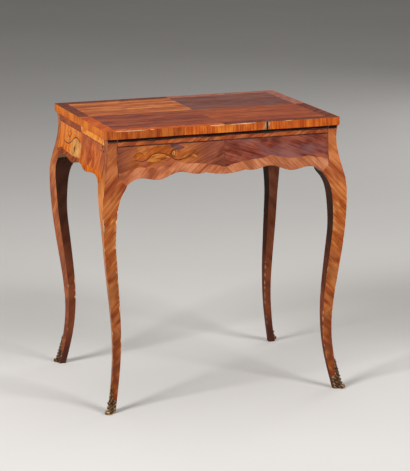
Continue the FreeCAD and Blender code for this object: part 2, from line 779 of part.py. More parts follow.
def make_drawer():
    """The drawer and its lock."""
    panel = block("panel", ("drawer_back_x", "inner_x + groove_depth"), ("-panel_y", "panel_y"),
                  ("panel_bottom", "panel_top"))
    back_x = ("drawer_back_x + back_setback", "drawer_back_x + back_setback + back_thickness")
    back = block("back_board", back_x, ("-tray_y - back_housing", "tray_y + back_housing"),
                 ("panel_top", "panel_top + back_height"))
    nails = []
    nail_holes = []
    for name, step in (("front", -1), ("middle", 0), ("rear", 1)):
        spot = ("drawer_back_x + back_setback + back_thickness / 2", f"{step} * nail_spacing", "panel_bottom")
        nails.append(rod(f"nail_{name}", "nail_radius", "nail_length", spot, "+z"))
        nail_holes.append(rod(f"nail_hole_{name}", "nail_radius + fit_gap", "nail_length", spot, "+z"))
    group("drawer_bottom_nails", nails)
    keep(cut("nailed_panel", panel, *nail_holes), "drawer_bottom")
    keep(cut("nailed_back", back, *nail_holes), "drawer_back")

    divider_x = "inner_x - divider_from_front"
    keep(block("divider", (f"{divider_x} - divider_thickness", divider_x), ("-tray_y", "tray_y"),
               ("panel_top", "panel_top + divider_height")), "drawer_divider")

    gap = "(side_height - 2 * tail_width) / 3"
    tails = []
    for low in (gap, f"2 * {gap} + tail_width"):
        tails += [
            ("drawer_length", f"{low} + tail_slope"),
            ("drawer_length + tail_length", low),
            ("drawer_length + tail_length", f"{low} + tail_width"),
            ("drawer_length", f"{low} + tail_width - tail_slope"),
        ]
    outline = [("0", "0"), ("drawer_length", "0"), *tails,
               ("drawer_length", "side_height"), ("0", "side_height")]
    sides = []
    for side_name, y in (("front", "side_thickness - side_y"), ("rear", "side_y")):
        body = outline_body(f"side_{side_name}", outline, "side_thickness")
        place(body, ("drawer_back_x", y, "side_bottom"))
        sides.append(body)
        keep(cut(f"grooved_side_{side_name}", body, panel, back), f"drawer_side_{side_name}")

    case_cuts, keyhole, lock_screw_holes = make_lock()
    plate_x = "face_x - escutcheon_let_in"
    escutcheon = rod("escutcheon", "escutcheon_radius", "escutcheon_thickness", (plate_x, "0", "key_z"), "+x")
    recess = rod("escutcheon_recess", "escutcheon_radius", "case_depth", (plate_x, "0", "key_z"), "+x")
    keep(cut("pierced_escutcheon", escutcheon, *keyhole), "keyhole_escutcheon")
    board = apron_board(read("drawer_y"), read("frame_x"), read("drawer_top"), end_edge(read("drawer_y")))
    front = shaped("drawer_front_board", board, 90)
    fitted = cut("fitted_front", front, *sides, panel, case_cuts, recess, *keyhole, *lock_screw_holes)
    keep(fitted, "drawer_front")


def make_lock():
    """Lock case, bolt, key and screws. Gives back what the drawer front has to be cut for."""
    half_case = "case_width / 2"
    body_y = (f"-{half_case}", half_case)
    plate_y = (f"-({half_case} + plate_margin)", f"{half_case} + plate_margin")
    body = block("case_body", ("inner_x", "case_outside"), body_y, ("case_bottom", "drawer_top"))
    plate = block("case_plate", ("case_inside", "inner_x"), plate_y, ("case_bottom", "drawer_top"))
    cavity = block("case_cavity", ("case_inside + case_wall", "case_outside - case_wall"),
                   (f"-({half_case} - case_wall)", f"{half_case} - case_wall"),
                   ("case_bottom + case_wall", "drawer_top - case_wall"))
    way_x = "(bolt_thickness / 2 + bolt_gap)"
    way_y = "(bolt_width / 2 + bolt_gap)"
    bolt_way = block("bolt_way", (f"bolt_x - {way_x}", f"bolt_x + {way_x}"), (f"-{way_y}", way_y),
                     ("bolt_bottom", "drawer_top + bolt_throw"))
    key_hole = rod("key_hole", "key_radius + key_clearance", "case_depth + apron_thickness",
                   ("case_inside + case_wall", "0", "key_z"), "+x")
    slot_y = "(bit_thickness / 2 + slot_gap)"
    bit_slot = block("bit_slot", ("case_inside + case_wall", "frame_x"), (f"-{slot_y}", slot_y),
                     ("key_z - bit_length - slot_gap", "key_z"))
    keyhole = [key_hole, bit_slot]

    screws = []
    screw_holes = []
    for side_name, sign in (("front", -1), ("rear", 1)):
        for level, z in (("low", "case_bottom + plate_margin"), ("high", "drawer_top - plate_margin")):
            spot = ("case_inside", f"{sign} * ({half_case} + plate_margin / 2)", z)
            screws.append(rod(f"lock_screw_{side_name}_{level}", "lock_screw_radius", "lock_screw_length",
                              spot, "+x"))
            screw_holes.append(rod(f"lock_screw_hole_{side_name}_{level}", "lock_screw_radius + fit_gap",
                                   "lock_screw_length", spot, "+x"))
    group("lock_screws", screws)
    keep(cut("hollow_case", join("case", body, plate), cavity, bolt_way, *keyhole, *screw_holes), "lock_case")
    bolt = block("bolt", ("bolt_x - bolt_thickness / 2", "bolt_x + bolt_thickness / 2"),
                 ("-bolt_width / 2", "bolt_width / 2"), ("bolt_bottom", "bolt_bottom + bolt_height"))
    keep(bolt, "lock_bolt")

    key_start = "(case_inside + case_wall + key_end_gap)"
    collar_x = "(face_x - escutcheon_let_in + escutcheon_thickness + running_gap)"
    bow_x = f"({collar_x} + collar_length + bow_radius + bow_wire / 2)"
    shank = rod("key_shank", "key_radius", f"{bow_x} - bow_radius - {key_start}",
                (key_start, "0", "key_z"), "+x")
    collar = rod("key_collar", "collar_radius", "collar_length", (collar_x, "0", "key_z"), "+x")
    bit = block("key_bit", ("bolt_x - bit_width / 2", "bolt_x + bit_width / 2"),
                ("-bit_thickness / 2", "bit_thickness / 2"), ("key_z - bit_length", "key_z"))
    ring = doc.addObject("Part::Torus", "key_bow")
    ring.Placement = Placement(Vector(), TURNS["+y"])
    ring.setExpression("Radius1", tie("bow_radius"))
    ring.setExpression("Radius2", tie("bow_wire"))
    place(ring, (bow_x, "0", "key_z"))
    keep(join("whole_key", shank, collar, bit, ring), "key")
    return body, keyhole, screw_holes


def write_parts():
    """Recompute, refuse anything broken and write one file for each node."""
    doc.recompute()
    for piece in doc.Objects:
        if "Invalid" in piece.State or "Error" in piece.State:
            raise RuntimeError(f"{piece.Label} failed: {piece.State}")
    for piece in nodes:
        if piece.Shape.isNull() or not piece.Shape.isValid() or piece.Shape.Volume <= 0:
            raise RuntimeError(f"{piece.Label} has no sound shape")
    os.makedirs("parts", exist_ok=True)
    for piece in nodes:
        piece.Shape.exportStep(f"parts/{piece.Label}.step")
        print(f"{piece.Label}: {len(piece.Shape.Solids)} solids, {piece.Shape.Volume:.0f} mm3")


post_recesses = make_aprons()
make_drawer_frame(post_recesses)
make_legs(post_recesses)
make_top()
make_drawer()
write_parts()
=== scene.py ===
import math
import random
from functools import partial

import bpy
from mathutils import Matrix, Vector
from mathutils.bvhtree import BVHTree


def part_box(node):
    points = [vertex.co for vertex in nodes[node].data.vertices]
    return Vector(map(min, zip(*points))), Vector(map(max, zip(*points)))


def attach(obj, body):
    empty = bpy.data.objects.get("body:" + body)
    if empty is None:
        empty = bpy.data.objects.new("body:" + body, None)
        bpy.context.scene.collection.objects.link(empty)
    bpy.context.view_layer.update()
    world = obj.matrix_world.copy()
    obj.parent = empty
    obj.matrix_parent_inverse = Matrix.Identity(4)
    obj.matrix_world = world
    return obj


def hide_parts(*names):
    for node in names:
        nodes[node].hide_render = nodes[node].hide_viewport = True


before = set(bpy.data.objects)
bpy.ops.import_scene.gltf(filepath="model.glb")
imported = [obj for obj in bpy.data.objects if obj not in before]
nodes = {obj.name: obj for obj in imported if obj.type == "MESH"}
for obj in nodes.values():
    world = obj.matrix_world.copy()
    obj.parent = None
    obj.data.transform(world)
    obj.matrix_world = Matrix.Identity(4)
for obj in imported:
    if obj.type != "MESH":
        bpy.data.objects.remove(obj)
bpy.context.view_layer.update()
MM = 0.001
X, Y, UP = Vector((1, 0, 0)), Vector((0, 1, 0)), Vector((0, 0, 1))
# The way out of the table at each corner, along x and y.
CORNERS = {"front_left": (-1, -1), "front_right": (1, -1), "rear_left": (-1, 1), "rear_right": (1, 1)}


# Colours and finishes


def linear(colour):
    """An sRGB hex colour as linear RGBA."""
    parts = [int(colour[i:i + 2], 16) / 255 for i in (1, 3, 5)]
    return [p / 12.92 if p <= 0.04045 else ((p + 0.055) / 1.055) ** 2.4 for p in parts] + [1.0]


def add(tree, kind, inputs=None, stops=(), **settings):
    """One shader node with its settings, its links and, for a ramp, its colours. Gives the node's
    outputs."""
    made = tree.nodes.new("ShaderNode" + kind)
    for name, value in settings.items():
        setattr(made, name, value)
    for name, value in (inputs or {}).items():
        if isinstance(value, bpy.types.NodeSocket):
            tree.links.new(value, made.inputs[name])
        else:
            made.inputs[name].default_value = value
    for place, (at, colour) in enumerate(stops):
        elements = made.color_ramp.elements
        stop = elements[place] if place < len(elements) else elements.new(at)
        stop.position, stop.color = at, linear(colour)
    return made.outputs


def fresh(name):
    """A new material with no nodes."""
    made = bpy.data.materials.new(name)
    made.use_nodes = True
    made.node_tree.nodes.clear()
    return made, made.node_tree


def measure(tree, place):
    """Where grain is measured: on a laid sheet, flat on the top, or along and up a side from its middle."""
    if place == "laid":
        return add(tree, "Attribute", attribute_name="grain")["Vector"]
    spot = add(tree, "TexCoord")["Object"]
    if place == "flat":
        return spot
    at = add(tree, "SeparateXYZ", {0: spot})
    facing = add(tree, "SeparateXYZ", {0: add(tree, "NewGeometry")["True Normal"]})
    size = {way: add(tree, "Math", {0: at[way]}, operation="ABSOLUTE")[0] for way in "XY"}
    tilt = {way: add(tree, "Math", {0: facing[way]}, operation="ABSOLUTE")[0] for way in "XY"}
    end = add(tree, "Math", {0: tilt["X"], 1: tilt["Y"]}, operation="GREATER_THAN")[0]
    along = add(tree, "Mix", {0: end, 2: size["X"], 3: size["Y"]})[0]
    return add(tree, "CombineXYZ", {"X": along, "Y": at["Z"]})[0]


def grain_noise(tree, spot, turn, length, width, seed, detail=3.0, warp=0.4):
    """Noise drawn out along the grain, by its length and width in millimetres and its turn in degrees."""
    laid = add(tree, "Mapping", {
        "Vector": spot, "Location": (seed * 0.37, seed * 0.53, seed * 0.11),
        "Rotation": (0, 0, math.radians(turn)), "Scale": (length * MM, width * MM, width * MM),
    }, vector_type="TEXTURE")[0]
    return add(tree, "TexNoise", {"Vector": laid, "Scale": 1.0, "Detail": detail, "Distortion": warp})[0]


def used_leg(tree, colour, spread, broad, worn, head, foot, inner, floor_dark, pale=None):
    """What light and use did to a leg. Its head is browner, its foot is soiled, and pale paints light on
    its left face. The inner faces carry painted shade and light: dark in shade, lighter where they look
    across the table's depth and more so on the right legs, lit and redder lower down, and darker again near
    the floor. Gives the colour, and a number that is 1 on inner faces. Heights are in metres above the
    floor."""
    at = add(tree, "SeparateXYZ", {0: add(tree, "TexCoord")["Object"]})
    facing = add(tree, "SeparateXYZ", {0: add(tree, "NewGeometry")["True Normal"]})
    upper = add(tree, "MapRange", {0: at["Z"], 1: 0.5, 2: 0.57, 3: 0.0, 4: 0.8})[0]
    browner = add(tree, "ValToRGB", {0: spread}, stops=((0.0, head[0]), (1.0, head[1])))[0]
    colour = add(tree, "Mix", {0: upper, 6: colour, 7: browner}, data_type="RGBA")[2]
    # Painted light on the faces that look left, towards the left lamp, in patches below the head.
    if pale:
        faces_left = add(tree, "MapRange", {0: facing["X"], 1: -0.6, 2: -0.9})[0]
        below = add(tree, "MapRange", {0: at["Z"], 1: 0.625, 2: 0.575, 3: 0.0, 4: 0.6})[0]
        patchy = add(tree, "MapRange", {0: broad, 1: 0.3, 2: 0.6, 3: 0.55, 4: 1.0})[0]
        lit_face = add(tree, "Math", {0: faces_left, 1: below}, operation="MULTIPLY")[0]
        lit_face = add(tree, "Math", {0: lit_face, 1: patchy}, operation="MULTIPLY")[0]
        colour = add(tree, "Mix", {0: lit_face, 6: colour, 7: linear(pale)}, data_type="RGBA")[2]
    soiled = add(tree, "MapRange", {0: at["Z"], 1: 0.5, 2: 0.14, 3: 0.0, 4: 0.95})[0]
    uneven = add(tree, "MapRange", {0: worn, 1: 0.3, 2: 0.6})[0]
    dirt = add(tree, "Math", {0: soiled, 1: uneven}, operation="MULTIPLY")[0]
    colour = add(tree, "Mix", {0: dirt, 6: colour, 7: linear(foot)}, data_type="RGBA")[2]
    ways = []
    for way in "XY":
        sign = add(tree, "Math", {0: at[way]}, operation="SIGN")[0]
        ways.append(add(tree, "Math", {0: facing[way], 1: sign}, operation="MULTIPLY")[0])
    outward = add(tree, "Math", {0: ways[0], 1: ways[1]}, operation="ADD")[0]
    hidden = add(tree, "MapRange", {0: outward, 1: 0.08, 2: -0.08})[0]
    # Painted shade and light on the inner faces: dark in shade, lighter where they face across the depth,
    # and more so on the right legs.
    dark, light, lit_lower = [
        add(tree, "ValToRGB", {0: broad}, stops=((0.3, low), (0.7, high)))[0] for low, high in inner]
    across = add(tree, "MapRange", {0: ways[1], 1: -0.4, 2: -0.7})[0]
    right_legs_lit = add(tree, "MapRange", {0: at["X"], 1: -0.2, 2: 0.2, 3: 0.15, 4: 1.0})[0]
    lit_share = add(tree, "Math", {0: across, 1: right_legs_lit}, operation="MULTIPLY")[0]
    plain = add(tree, "Mix", {0: lit_share, 6: dark, 7: light}, data_type="RGBA")[2]
    # Painted light lower down, where the inner faces come out of the shade: lighter and redder.
    lower = add(tree, "MapRange", {0: at["Z"], 1: 0.42, 2: 0.24, 3: 0.0, 4: 0.85})[0]
    plain = add(tree, "Mix", {0: lower, 6: plain, 7: lit_lower}, data_type="RGBA")[2]
    # Darker again near the floor.
    near_floor = add(tree, "MapRange", {0: at["Z"], 1: 0.11, 2: 0.045, 3: 0.0, 4: 0.8})[0]
    plain = add(tree, "Mix", {0: near_floor, 6: plain, 7: linear(floor_dark)}, data_type="RGBA")[2]
    return add(tree, "Mix", {0: hidden, 6: colour, 7: plain}, data_type="RGBA")[2], hidden


def veneer(name, colours, place="laid", turn=0, figure=(150, 16), stripe=(60, 3.2), gloss=0.34, seed=1,
           shine=0.22, bloom=None, heart=None, leg=None):
    """Sawn veneer, scraped, waxed and rubbed for two centuries. The eye gets broad figure, streaks of
    grain, a soft sheen, small dark pores and rubbed patches. Pores of 0.3 mm don't show in the render, so
    they're drawn 3 mm wide. Figure and stripe are the length and width of broad and fine grain in
    millimetres. Gloss is the roughness of the wax and shine its strength. Bloom is the colour of hazy old
    wax. Heart is the middle of a paler heart in the wood, its inner and outer reach, and the two colours
    outside it. Leg is what used_leg is given."""
    made, tree = fresh(name)
    low, middle, high = colours
    spot = measure(tree, place)
    broad = grain_noise(tree, spot, turn, *figure, seed)
    fine = grain_noise(tree, spot, turn, *stripe, seed + 5, detail=2.0, warp=0.1)
    both = add(tree, "Mix", {0: 0.42, 2: broad, 3: fine})[0]
    spread = add(tree, "MapRange", {0: both, 1: 0.39, 2: 0.61})[0]
    colour = add(tree, "ValToRGB", {0: spread}, stops=((0.0, low), (0.5, middle), (1.0, high)))[0]
    worn = grain_noise(tree, spot, turn, 46, 30, seed + 9, detail=4.0, warp=0.8)
    rubbed = add(tree, "MapRange", {0: worn, 1: 0.52, 2: 0.75, 3: 0.0, 4: 0.5})[0]
    colour = add(tree, "Mix", {0: rubbed, 6: colour, 7: linear(high)}, data_type="RGBA")[2]
    shaded = add(tree, "MapRange", {0: worn, 1: 0.5, 2: 0.26, 3: 0.0, 4: 0.65})[0]
    colour = add(tree, "Mix", {0: shaded, 6: colour, 7: linear(low)}, data_type="RGBA")[2]
    if heart:
        centre, near, far, *outside = heart
        along = add(tree, "SeparateXYZ", {0: spot})[0]
        offset = add(tree, "Math", {0: along, 1: centre * MM}, operation="SUBTRACT")[0]
        apart = add(tree, "Math", {0: offset}, operation="ABSOLUTE")[0]
        reach = add(tree, "MapRange", {0: apart, 1: near * MM, 2: far * MM, 3: -0.25, 4: 1.1})[0]
        waver = add(tree, "MapRange", {0: broad, 3: -0.5, 4: 0.5})[0]
        soft = add(tree, "Math", {0: reach, 1: waver}, operation="ADD", use_clamp=True)[0]
        rest = add(tree, "ValToRGB", {0: spread}, stops=((0.0, outside[0]), (1.0, outside[1])))[0]
        colour = add(tree, "Mix", {0: soft, 6: colour, 7: rest}, data_type="RGBA")[2]
    pores = grain_noise(tree, spot, turn, 26, 3.0, seed + 13, detail=1.0, warp=0.0)
    dark = add(tree, "MapRange", {0: pores, 1: 0.62, 2: 0.74, 3: 0.0, 4: 0.45})[0]
    colour = add(tree, "Mix", {0: dark, 6: colour, 7: linear(low)}, data_type="RGBA")[2]
    if bloom:
        clouds = grain_noise(tree, spot, turn, 70, 38, seed + 17, detail=2.0, warp=0.5)
        hazy = add(tree, "MapRange", {0: clouds, 1: 0.5, 2: 0.68, 3: 0.0, 4: 0.7})[0]
        colour = add(tree, "Mix", {0: hazy, 6: colour, 7: linear(bloom)}, data_type="RGBA")[2]
    rough = add(tree, "MapRange", {0: both, 1: 0.3, 2: 0.7, 3: gloss - 0.06, 4: gloss + 0.1})[0]
    if leg:
        colour, hidden = used_leg(tree, colour, spread, broad, worn, **leg)
        rough = add(tree, "Mix", {0: hidden, 2: rough, 3: 0.85})[0]
    raised = add(tree, "Bump", {"Strength": 0.35, "Distance": 0.4 * MM, "Height": fine})[0]
    wood = add(tree, "BsdfPrincipled", {
        "Base Color": colour, "Roughness": rough, "Normal": raised, "IOR": 1.5, "Coat Weight": 0.04,
        "Coat Roughness": 0.25, "Specular IOR Level": shine})[0]
    add(tree, "OutputMaterial", {0: wood})
    return made


def sawn_oak(name, turn):
    """Oak, sawn and planed, never polished: dull, with long open grain and grey-brown dust in it."""
    made, tree = fresh(name)
    grain_long, grain_wide, dust_wide = 140, 6, 50  # millimetres
    spot = add(tree, "TexCoord")["Object"]
    laid = add(tree, "Mapping", {
        "Vector": spot, "Rotation": turn, "Scale": (grain_long * MM, grain_wide * MM, grain_wide * MM),
    }, vector_type="TEXTURE")[0]
    rings = add(tree, "TexNoise", {"Vector": laid, "Scale": 1.0, "Detail": 4.0, "Distortion": 0.3})[0]
    clouds = add(tree, "TexNoise", {"Vector": spot, "Scale": 1 / (dust_wide * MM), "Detail": 3.0})[0]
    colour = add(tree, "ValToRGB", {0: rings}, stops=(
        (0.25, "#4f3420"), (0.5, "#7b5736"), (0.78, "#9a754c")))[0]
    dust = add(tree, "MapRange", {0: clouds, 1: 0.4, 2: 0.8, 3: 0.0, 4: 0.5})[0]
    colour = add(tree, "Mix", {0: dust, 6: colour, 7: linear("#5a442f")}, data_type="RGBA")[2]
    rough = add(tree, "MapRange", {0: rings, 3: 0.62, 4: 0.82})[0]
    raised = add(tree, "Bump", {"Strength": 0.5, "Distance": 0.6 * MM, "Height": rings})[0]
    wood = add(tree, "BsdfPrincipled", {
        "Base Color": colour, "Roughness": rough, "Normal": raised, "IOR": 1.5})[0]
    add(tree, "OutputMaterial", {0: wood})
    return made


def worked_metal(name, colours, rough, cloud_wide, relief=False):
    """A metal that was cast, forged or filed and then left to tarnish in clouds, whose width is in
    millimetres: bright where it is rubbed, dark in the hollows."""
    made, tree = fresh(name)
    low, middle, high = colours
    pit_wide = 0.22 * cloud_wide
    spot = add(tree, "TexCoord")["Object"]
    clouds = add(tree, "TexNoise", {"Vector": spot, "Scale": 1 / (cloud_wide * MM), "Detail": 5.0})[0]
    pits = add(tree, "TexNoise", {"Vector": spot, "Scale": 1 / (pit_wide * MM), "Detail": 2.0})[0]
    level = add(tree, "MapRange", {0: clouds, 1: 0.3, 2: 0.7})[0]
    if relief:
        raised = add(tree, "Attribute", attribute_name="relief")["Fac"]
        level = add(tree, "Mix", {0: 0.65, 2: level, 3: raised})[0]
    colour = add(tree, "ValToRGB", {0: level}, stops=((0.1, low), (0.5, middle), (0.9, high)))[0]
    roughness = add(tree, "MapRange", {0: level, 3: rough + 0.16, 4: rough - 0.08})[0]
    uneven = add(tree, "Bump", {"Strength": 0.4, "Distance": 0.3 * MM, "Height": pits})[0]
    metal = add(tree, "BsdfPrincipled", {
        "Base Color": colour, "Roughness": roughness, "Normal": uneven, "Metallic": 1.0})[0]
    add(tree, "OutputMaterial", {0: metal})
    return made


# Tulipwood is pale orange with fine pink streaks. Kingwood and amaranth are darker, red to purple, with a
# grey bloom. Satinwood is golden.
TOP = {
    "rear_left": veneer("tulipwood_top_rear_left", ("#8c360a", "#bc5c1f", "#e08a4a"),
                        "flat", 0, (260, 14), (120, 4), 0.3, 1),
    "front_left": veneer("kingwood_top_front_left", ("#6d1e0c", "#923d18", "#ab552d"),
                         "flat", 4, (240, 18), (110, 4), 0.28, 2),
    "rear_right": veneer("amaranth_top_rear_right", ("#662d1c", "#804131", "#955745"),
                         "flat", -3, (240, 18), (110, 4), 0.28, 3, bloom="#7b5450"),
    "front_right": veneer("tulipwood_top_front_right", ("#80260d", "#a04317", "#b65f2c"),
                          "flat", 0, (300, 12), (140, 4), 0.3, 4),
}
# The border of the top has slanting grain.
SLANTED = {"place": "flat", "turn": 45, "figure": (60, 9), "stripe": (40, 3.4), "gloss": 0.3}
LIGHT_EDGE = veneer("tulipwood_top_border", ("#a84009", "#c25212", "#d36a28"), **SLANTED, seed=6, shine=0.1)
HAZY_EDGE = veneer("tulipwood_top_border_bloomed", ("#935040", "#a56351", "#b77662"), **SLANTED, seed=36,
                   shine=0.1)
DARK_EDGE = veneer("amaranth_top_border", ("#581a0a", "#702f16", "#884428"), **SLANTED, seed=7, shine=0.12,
                   bloom="#764030")
# The banding round the top has upright grain, so it looks barred. Here and on the ends, much of the shine
# is lost.
DULL = 0.06
BARRED = {"place": "upright", "turn": 90, "stripe": (60, 3.4)}
BANDING = veneer("tulipwood_cross_banding", ("#a03f0b", "#bf5815", "#d67726"), **BARRED, figure=(90, 20),
                 gloss=0.26, seed=8)
RED_BANDING = veneer("kingwood_cross_banding", ("#843209", "#a24a14", "#bc6321"), **BARRED, figure=(90, 20),
                     gloss=0.26, seed=33)
PALE_BANDING = veneer("satinwood_cross_banding", ("#ac4c08", "#c86210", "#da7a1e"), **BARRED,
                      figure=(60, 40), gloss=0.3, seed=34, shine=DULL)
LEG_WOOD = {"colours": ("#81330a", "#ae581f", "#d18446"), "place": "upright", "turn": -48,
            "figure": (64, 24), "stripe": (70, 5), "gloss": 0.4, "seed": 9, "shine": 0.15}
# On the legs' inner faces the inner colours are painted shade and light: in shade, lit across the depth,
# and lit lower down; a further colour darkens them near the floor.
LEG_USE = {"foot": "#6a2e14", "floor_dark": "#47251c",
           "inner": (("#24100a", "#412010"), ("#4a2013", "#754029"), ("#632b14", "#8c4a2a"))}
LEG = veneer("tulipwood_legs", **LEG_WOOD, leg={**LEG_USE, "head": ("#8e431c", "#c07140")})
# The front-left leg also has painted light on its left face.
LEFT_LIT_LEG = veneer("tulipwood_leg_painted_light_left", **LEG_WOOD,
                      leg={**LEG_USE, "head": ("#7c3414", "#aa5e36"), "pale": "#e58c38"})
# The sheets on the frame: each side has a pale half and a dark half.
FIELD_LIGHT = veneer("tulipwood_front_field", ("#7a3512", "#a0511f", "#bd7038"), turn=24, figure=(70, 26),
                     seed=11, bloom="#a4583f", heart=(-160, 48, 120, "#5e2917", "#945038"))
FIELD_DARK = veneer("kingwood_front_field", ("#541d14", "#7b3524", "#9a523c"), turn=-20, figure=(60, 28),
                    seed=12, bloom="#7d5554")
END_LIGHT = veneer("satinwood_end_field", ("#b04e12", "#d66e1e", "#ee9238"), turn=80, figure=(60, 14),
                   seed=13, shine=DULL)
END_DARK = veneer("kingwood_end_field", ("#8c3210", "#b6531e", "#d67c3a"), turn=70, figure=(40, 26),
                  seed=14, bloom="#a65a34", shine=DULL)
BAND = veneer("tulipwood_upper_band", ("#842e0a", "#a74e1e", "#c36932"), turn=35, figure=(50, 14), seed=15)
END_BAND = veneer("tulipwood_end_band", ("#7e2c05", "#9d4110", "#b65a1e"), turn=35, figure=(50, 14),
                  seed=16, shine=DULL)
BRIGHT_BAND = veneer("satinwood_end_band", ("#c45d10", "#ea881f", "#feab39"), turn=35, figure=(60, 12),
                     seed=17, shine=DULL)
BORDER = veneer("tulipwood_lower_border", ("#92502f", "#b0663e", "#c6825a"), turn=-45, figure=(80, 20),
                stripe=(60, 4), seed=18)
PALE_BORDER = veneer("tulipwood_lower_border_pale", ("#8a4527", "#b0623a", "#c67f58"), turn=-40,
                     figure=(70, 22), stripe=(60, 4), seed=32)
END_BORDER = veneer("tulipwood_end_border", ("#9c3d05", "#c65c0d", "#de7819"), turn=-40, figure=(60, 10),
                    seed=19, shine=DULL)
PINK_BORDER = veneer("tulipwood_pink_border", ("#642510", "#8a3a18", "#a25528"), turn=-40, figure=(60, 10),
                     seed=20, shine=DULL)
# Thin lines and marquetry: dark stems, and leaves and petals that stand out from the field.
# The dark stringing also paints the soft lower fringe of the shadow under the top.
DARK_LINES_AND_SHADE = veneer("dark_stringing_and_painted_shade", ("#2a120a", "#43200f", "#5c2f19"), figure=(40, 8), seed=21)
SEAM = veneer("darkened_seam", ("#552815", "#773c20", "#905430"), figure=(40, 8), seed=35)
STEM = veneer("scorched_stem", ("#3c180a", "#55260f", "#6f3818"), figure=(30, 6), seed=22)
LEAF = veneer("satinwood_leaf", ("#984e1a", "#b56829", "#c98038"), turn=15, figure=(30, 6), seed=23)
PETAL = veneer("holly_petal", ("#b07436", "#cc9350", "#e2b274"), turn=80, figure=(20, 5), seed=24)
BUD = veneer("padouk_bud", ("#86390d", "#a85015", "#bd6824"), turn=40, figure=(20, 6), seed=25)
PURPLE = veneer("amaranth_patch", ("#4f2a25", "#693c35", "#7d5048"), turn=20, figure=(40, 12), seed=26)
CUP = veneer("satinwood_cup", ("#b8702c", "#d79142", "#ecb066"), turn=75, figure=(40, 8), seed=31)
# Damage: bare wood is pale and dull, and an open crack is nearly black. A rubbed arris is pale and bright;
# it and the long pale lines of bare wood on the front legs also paint the highlights along the arrises.
BARE_AND_HIGHLIT = veneer("pale_bare_wood_and_highlights", ("#8f5d3b", "#bd8b5f", "#e2bd92"), turn=90, figure=(20, 4), gloss=0.55,
              seed=27)
SCARRED = veneer("chipped_banding_edges", ("#7a4c30", "#9c6c4a", "#b98e6a"), turn=90, figure=(12, 3),
                 gloss=0.55, seed=30)
ARRIS_RUB_AND_HIGHLIGHT = veneer("arris_rub_and_painted_highlight", ("#c98a5a", "#e2ac80", "#f4d0ac"), figure=(30, 3), gloss=0.24, seed=28)
# The crack's near-black also paints the shadow under the top's overhang.
CRACK_AND_SHADOW = veneer("painted_shadow_and_open_crack", ("#120805", "#1c0d07", "#2a150c"), turn=90, figure=(20, 3), gloss=0.6, seed=29,
               shine=0.05)
OAK = {"x": sawn_oak("sawn_oak_lengthways", (0, 0, 0)),
       "y": sawn_oak("sawn_oak_crossways", (0, 0, math.pi / 2)),
       "z": sawn_oak("sawn_oak_upright", (0, math.pi / 2, 0))}
BRONZE = worked_metal("chased_bronze_old_gilding", ("#1c110b", "#70503a", "#d8b484"), 0.42, 9, relief=True)
BRASS = worked_metal("cast_brass_rubbed", ("#6b4a20", "#a37a38", "#d0a860"), 0.32, 7)
STEEL = worked_metal("filed_steel_oiled", ("#3a3836", "#6b6863", "#96928b"), 0.36, 6)
IRON = worked_metal("forged_iron_rusted", ("#20130d", "#3a2a22", "#5a4a40"), 0.6, 3)

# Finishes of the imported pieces

FINISHES = {"lock_keeper": BRASS, "keyhole_escutcheon": BRASS, "lock_case": STEEL, "lock_bolt": STEEL,
            "key": STEEL, "top_edge_left": PALE_BANDING, "top_edge_front_left": RED_BANDING,
            "glue_blocks": OAK["z"]}
for name in ("right_upper_rail", "right_bearer_rail", "apron_left", "drawer_front", "drawer_back",
             "drawer_divider", "drawer_bottom", "tenon_pegs"):
    FINISHES[name] = OAK["y"]
TOP_BORDERS = {"front_left": LIGHT_EDGE, "rear_right": HAZY_EDGE}
for corner in CORNERS:
    FINISHES[f"top_field_{corner}"] = TOP[corner]
    FINISHES[f"top_border_{corner}"] = TOP_BORDERS.get(corner, DARK_EDGE)
    FINISHES[f"leg_{corner}"] = LEFT_LIT_LEG if corner == "front_left" else LEG
    FINISHES[f"sabot_{corner}"] = BRONZE
for name, item in nodes.items():
    if name in FINISHES:
        finish = FINISHES[name]
    elif name.startswith("top_edge_"):
        finish = BANDING
    elif name.endswith(("_pins", "_screws", "_nails")):
        finish = IRON
    else:
        finish = OAK["x"]
    item.data.materials.clear()
    item.data.materials.append(finish)

# Closed solids


def closed(faces, outer, inner, grain=None, relief=None):
    """A thin solid between two like-ordered lists of points: its faces, its back and the rim between
    them."""
    used = sorted({i for face in faces for i in face})
    place = {old: new for new, old in enumerate(used)}
    faces = [tuple(place[i] for i in face) for face in faces]
    count = len(used)
    edges = {(a, b) for face in faces for a, b in zip(face, face[1:] + face[:1])}
    solid = faces + [tuple(count + i for i in reversed(face)) for face in faces]
    solid += [(b, a, count + a, count + b) for a, b in edges if (b, a) not in edges]
    points = [outer[i] for i in used] + [inner[i] for i in used]
    grain = [grain[i] for i in used] * 2 if grain else [(0, 0, 0)] * len(points)
    relief = [relief[i] for i in used] + [0.0] * count if relief else [0.0] * len(points)
    return points, solid, grain, relief


def stacked(rings, relief):
    """A solid through rings of points, one after another, with a cap on the first and on the last."""
    count, last = len(rings[0]), len(rings) - 1
    points = [spot for ring in rings for spot in ring]
    faces = []
    for k in range(last):
        for i in range(count):
            j = (i + 1) % count
            faces.append((k * count + i, k * count + j, (k + 1) * count + j, (k + 1) * count + i))
    faces += [tuple(reversed(range(count))), tuple(last * count + i for i in range(count))]
    return points, faces, [(0, 0, 0)] * len(points), relief


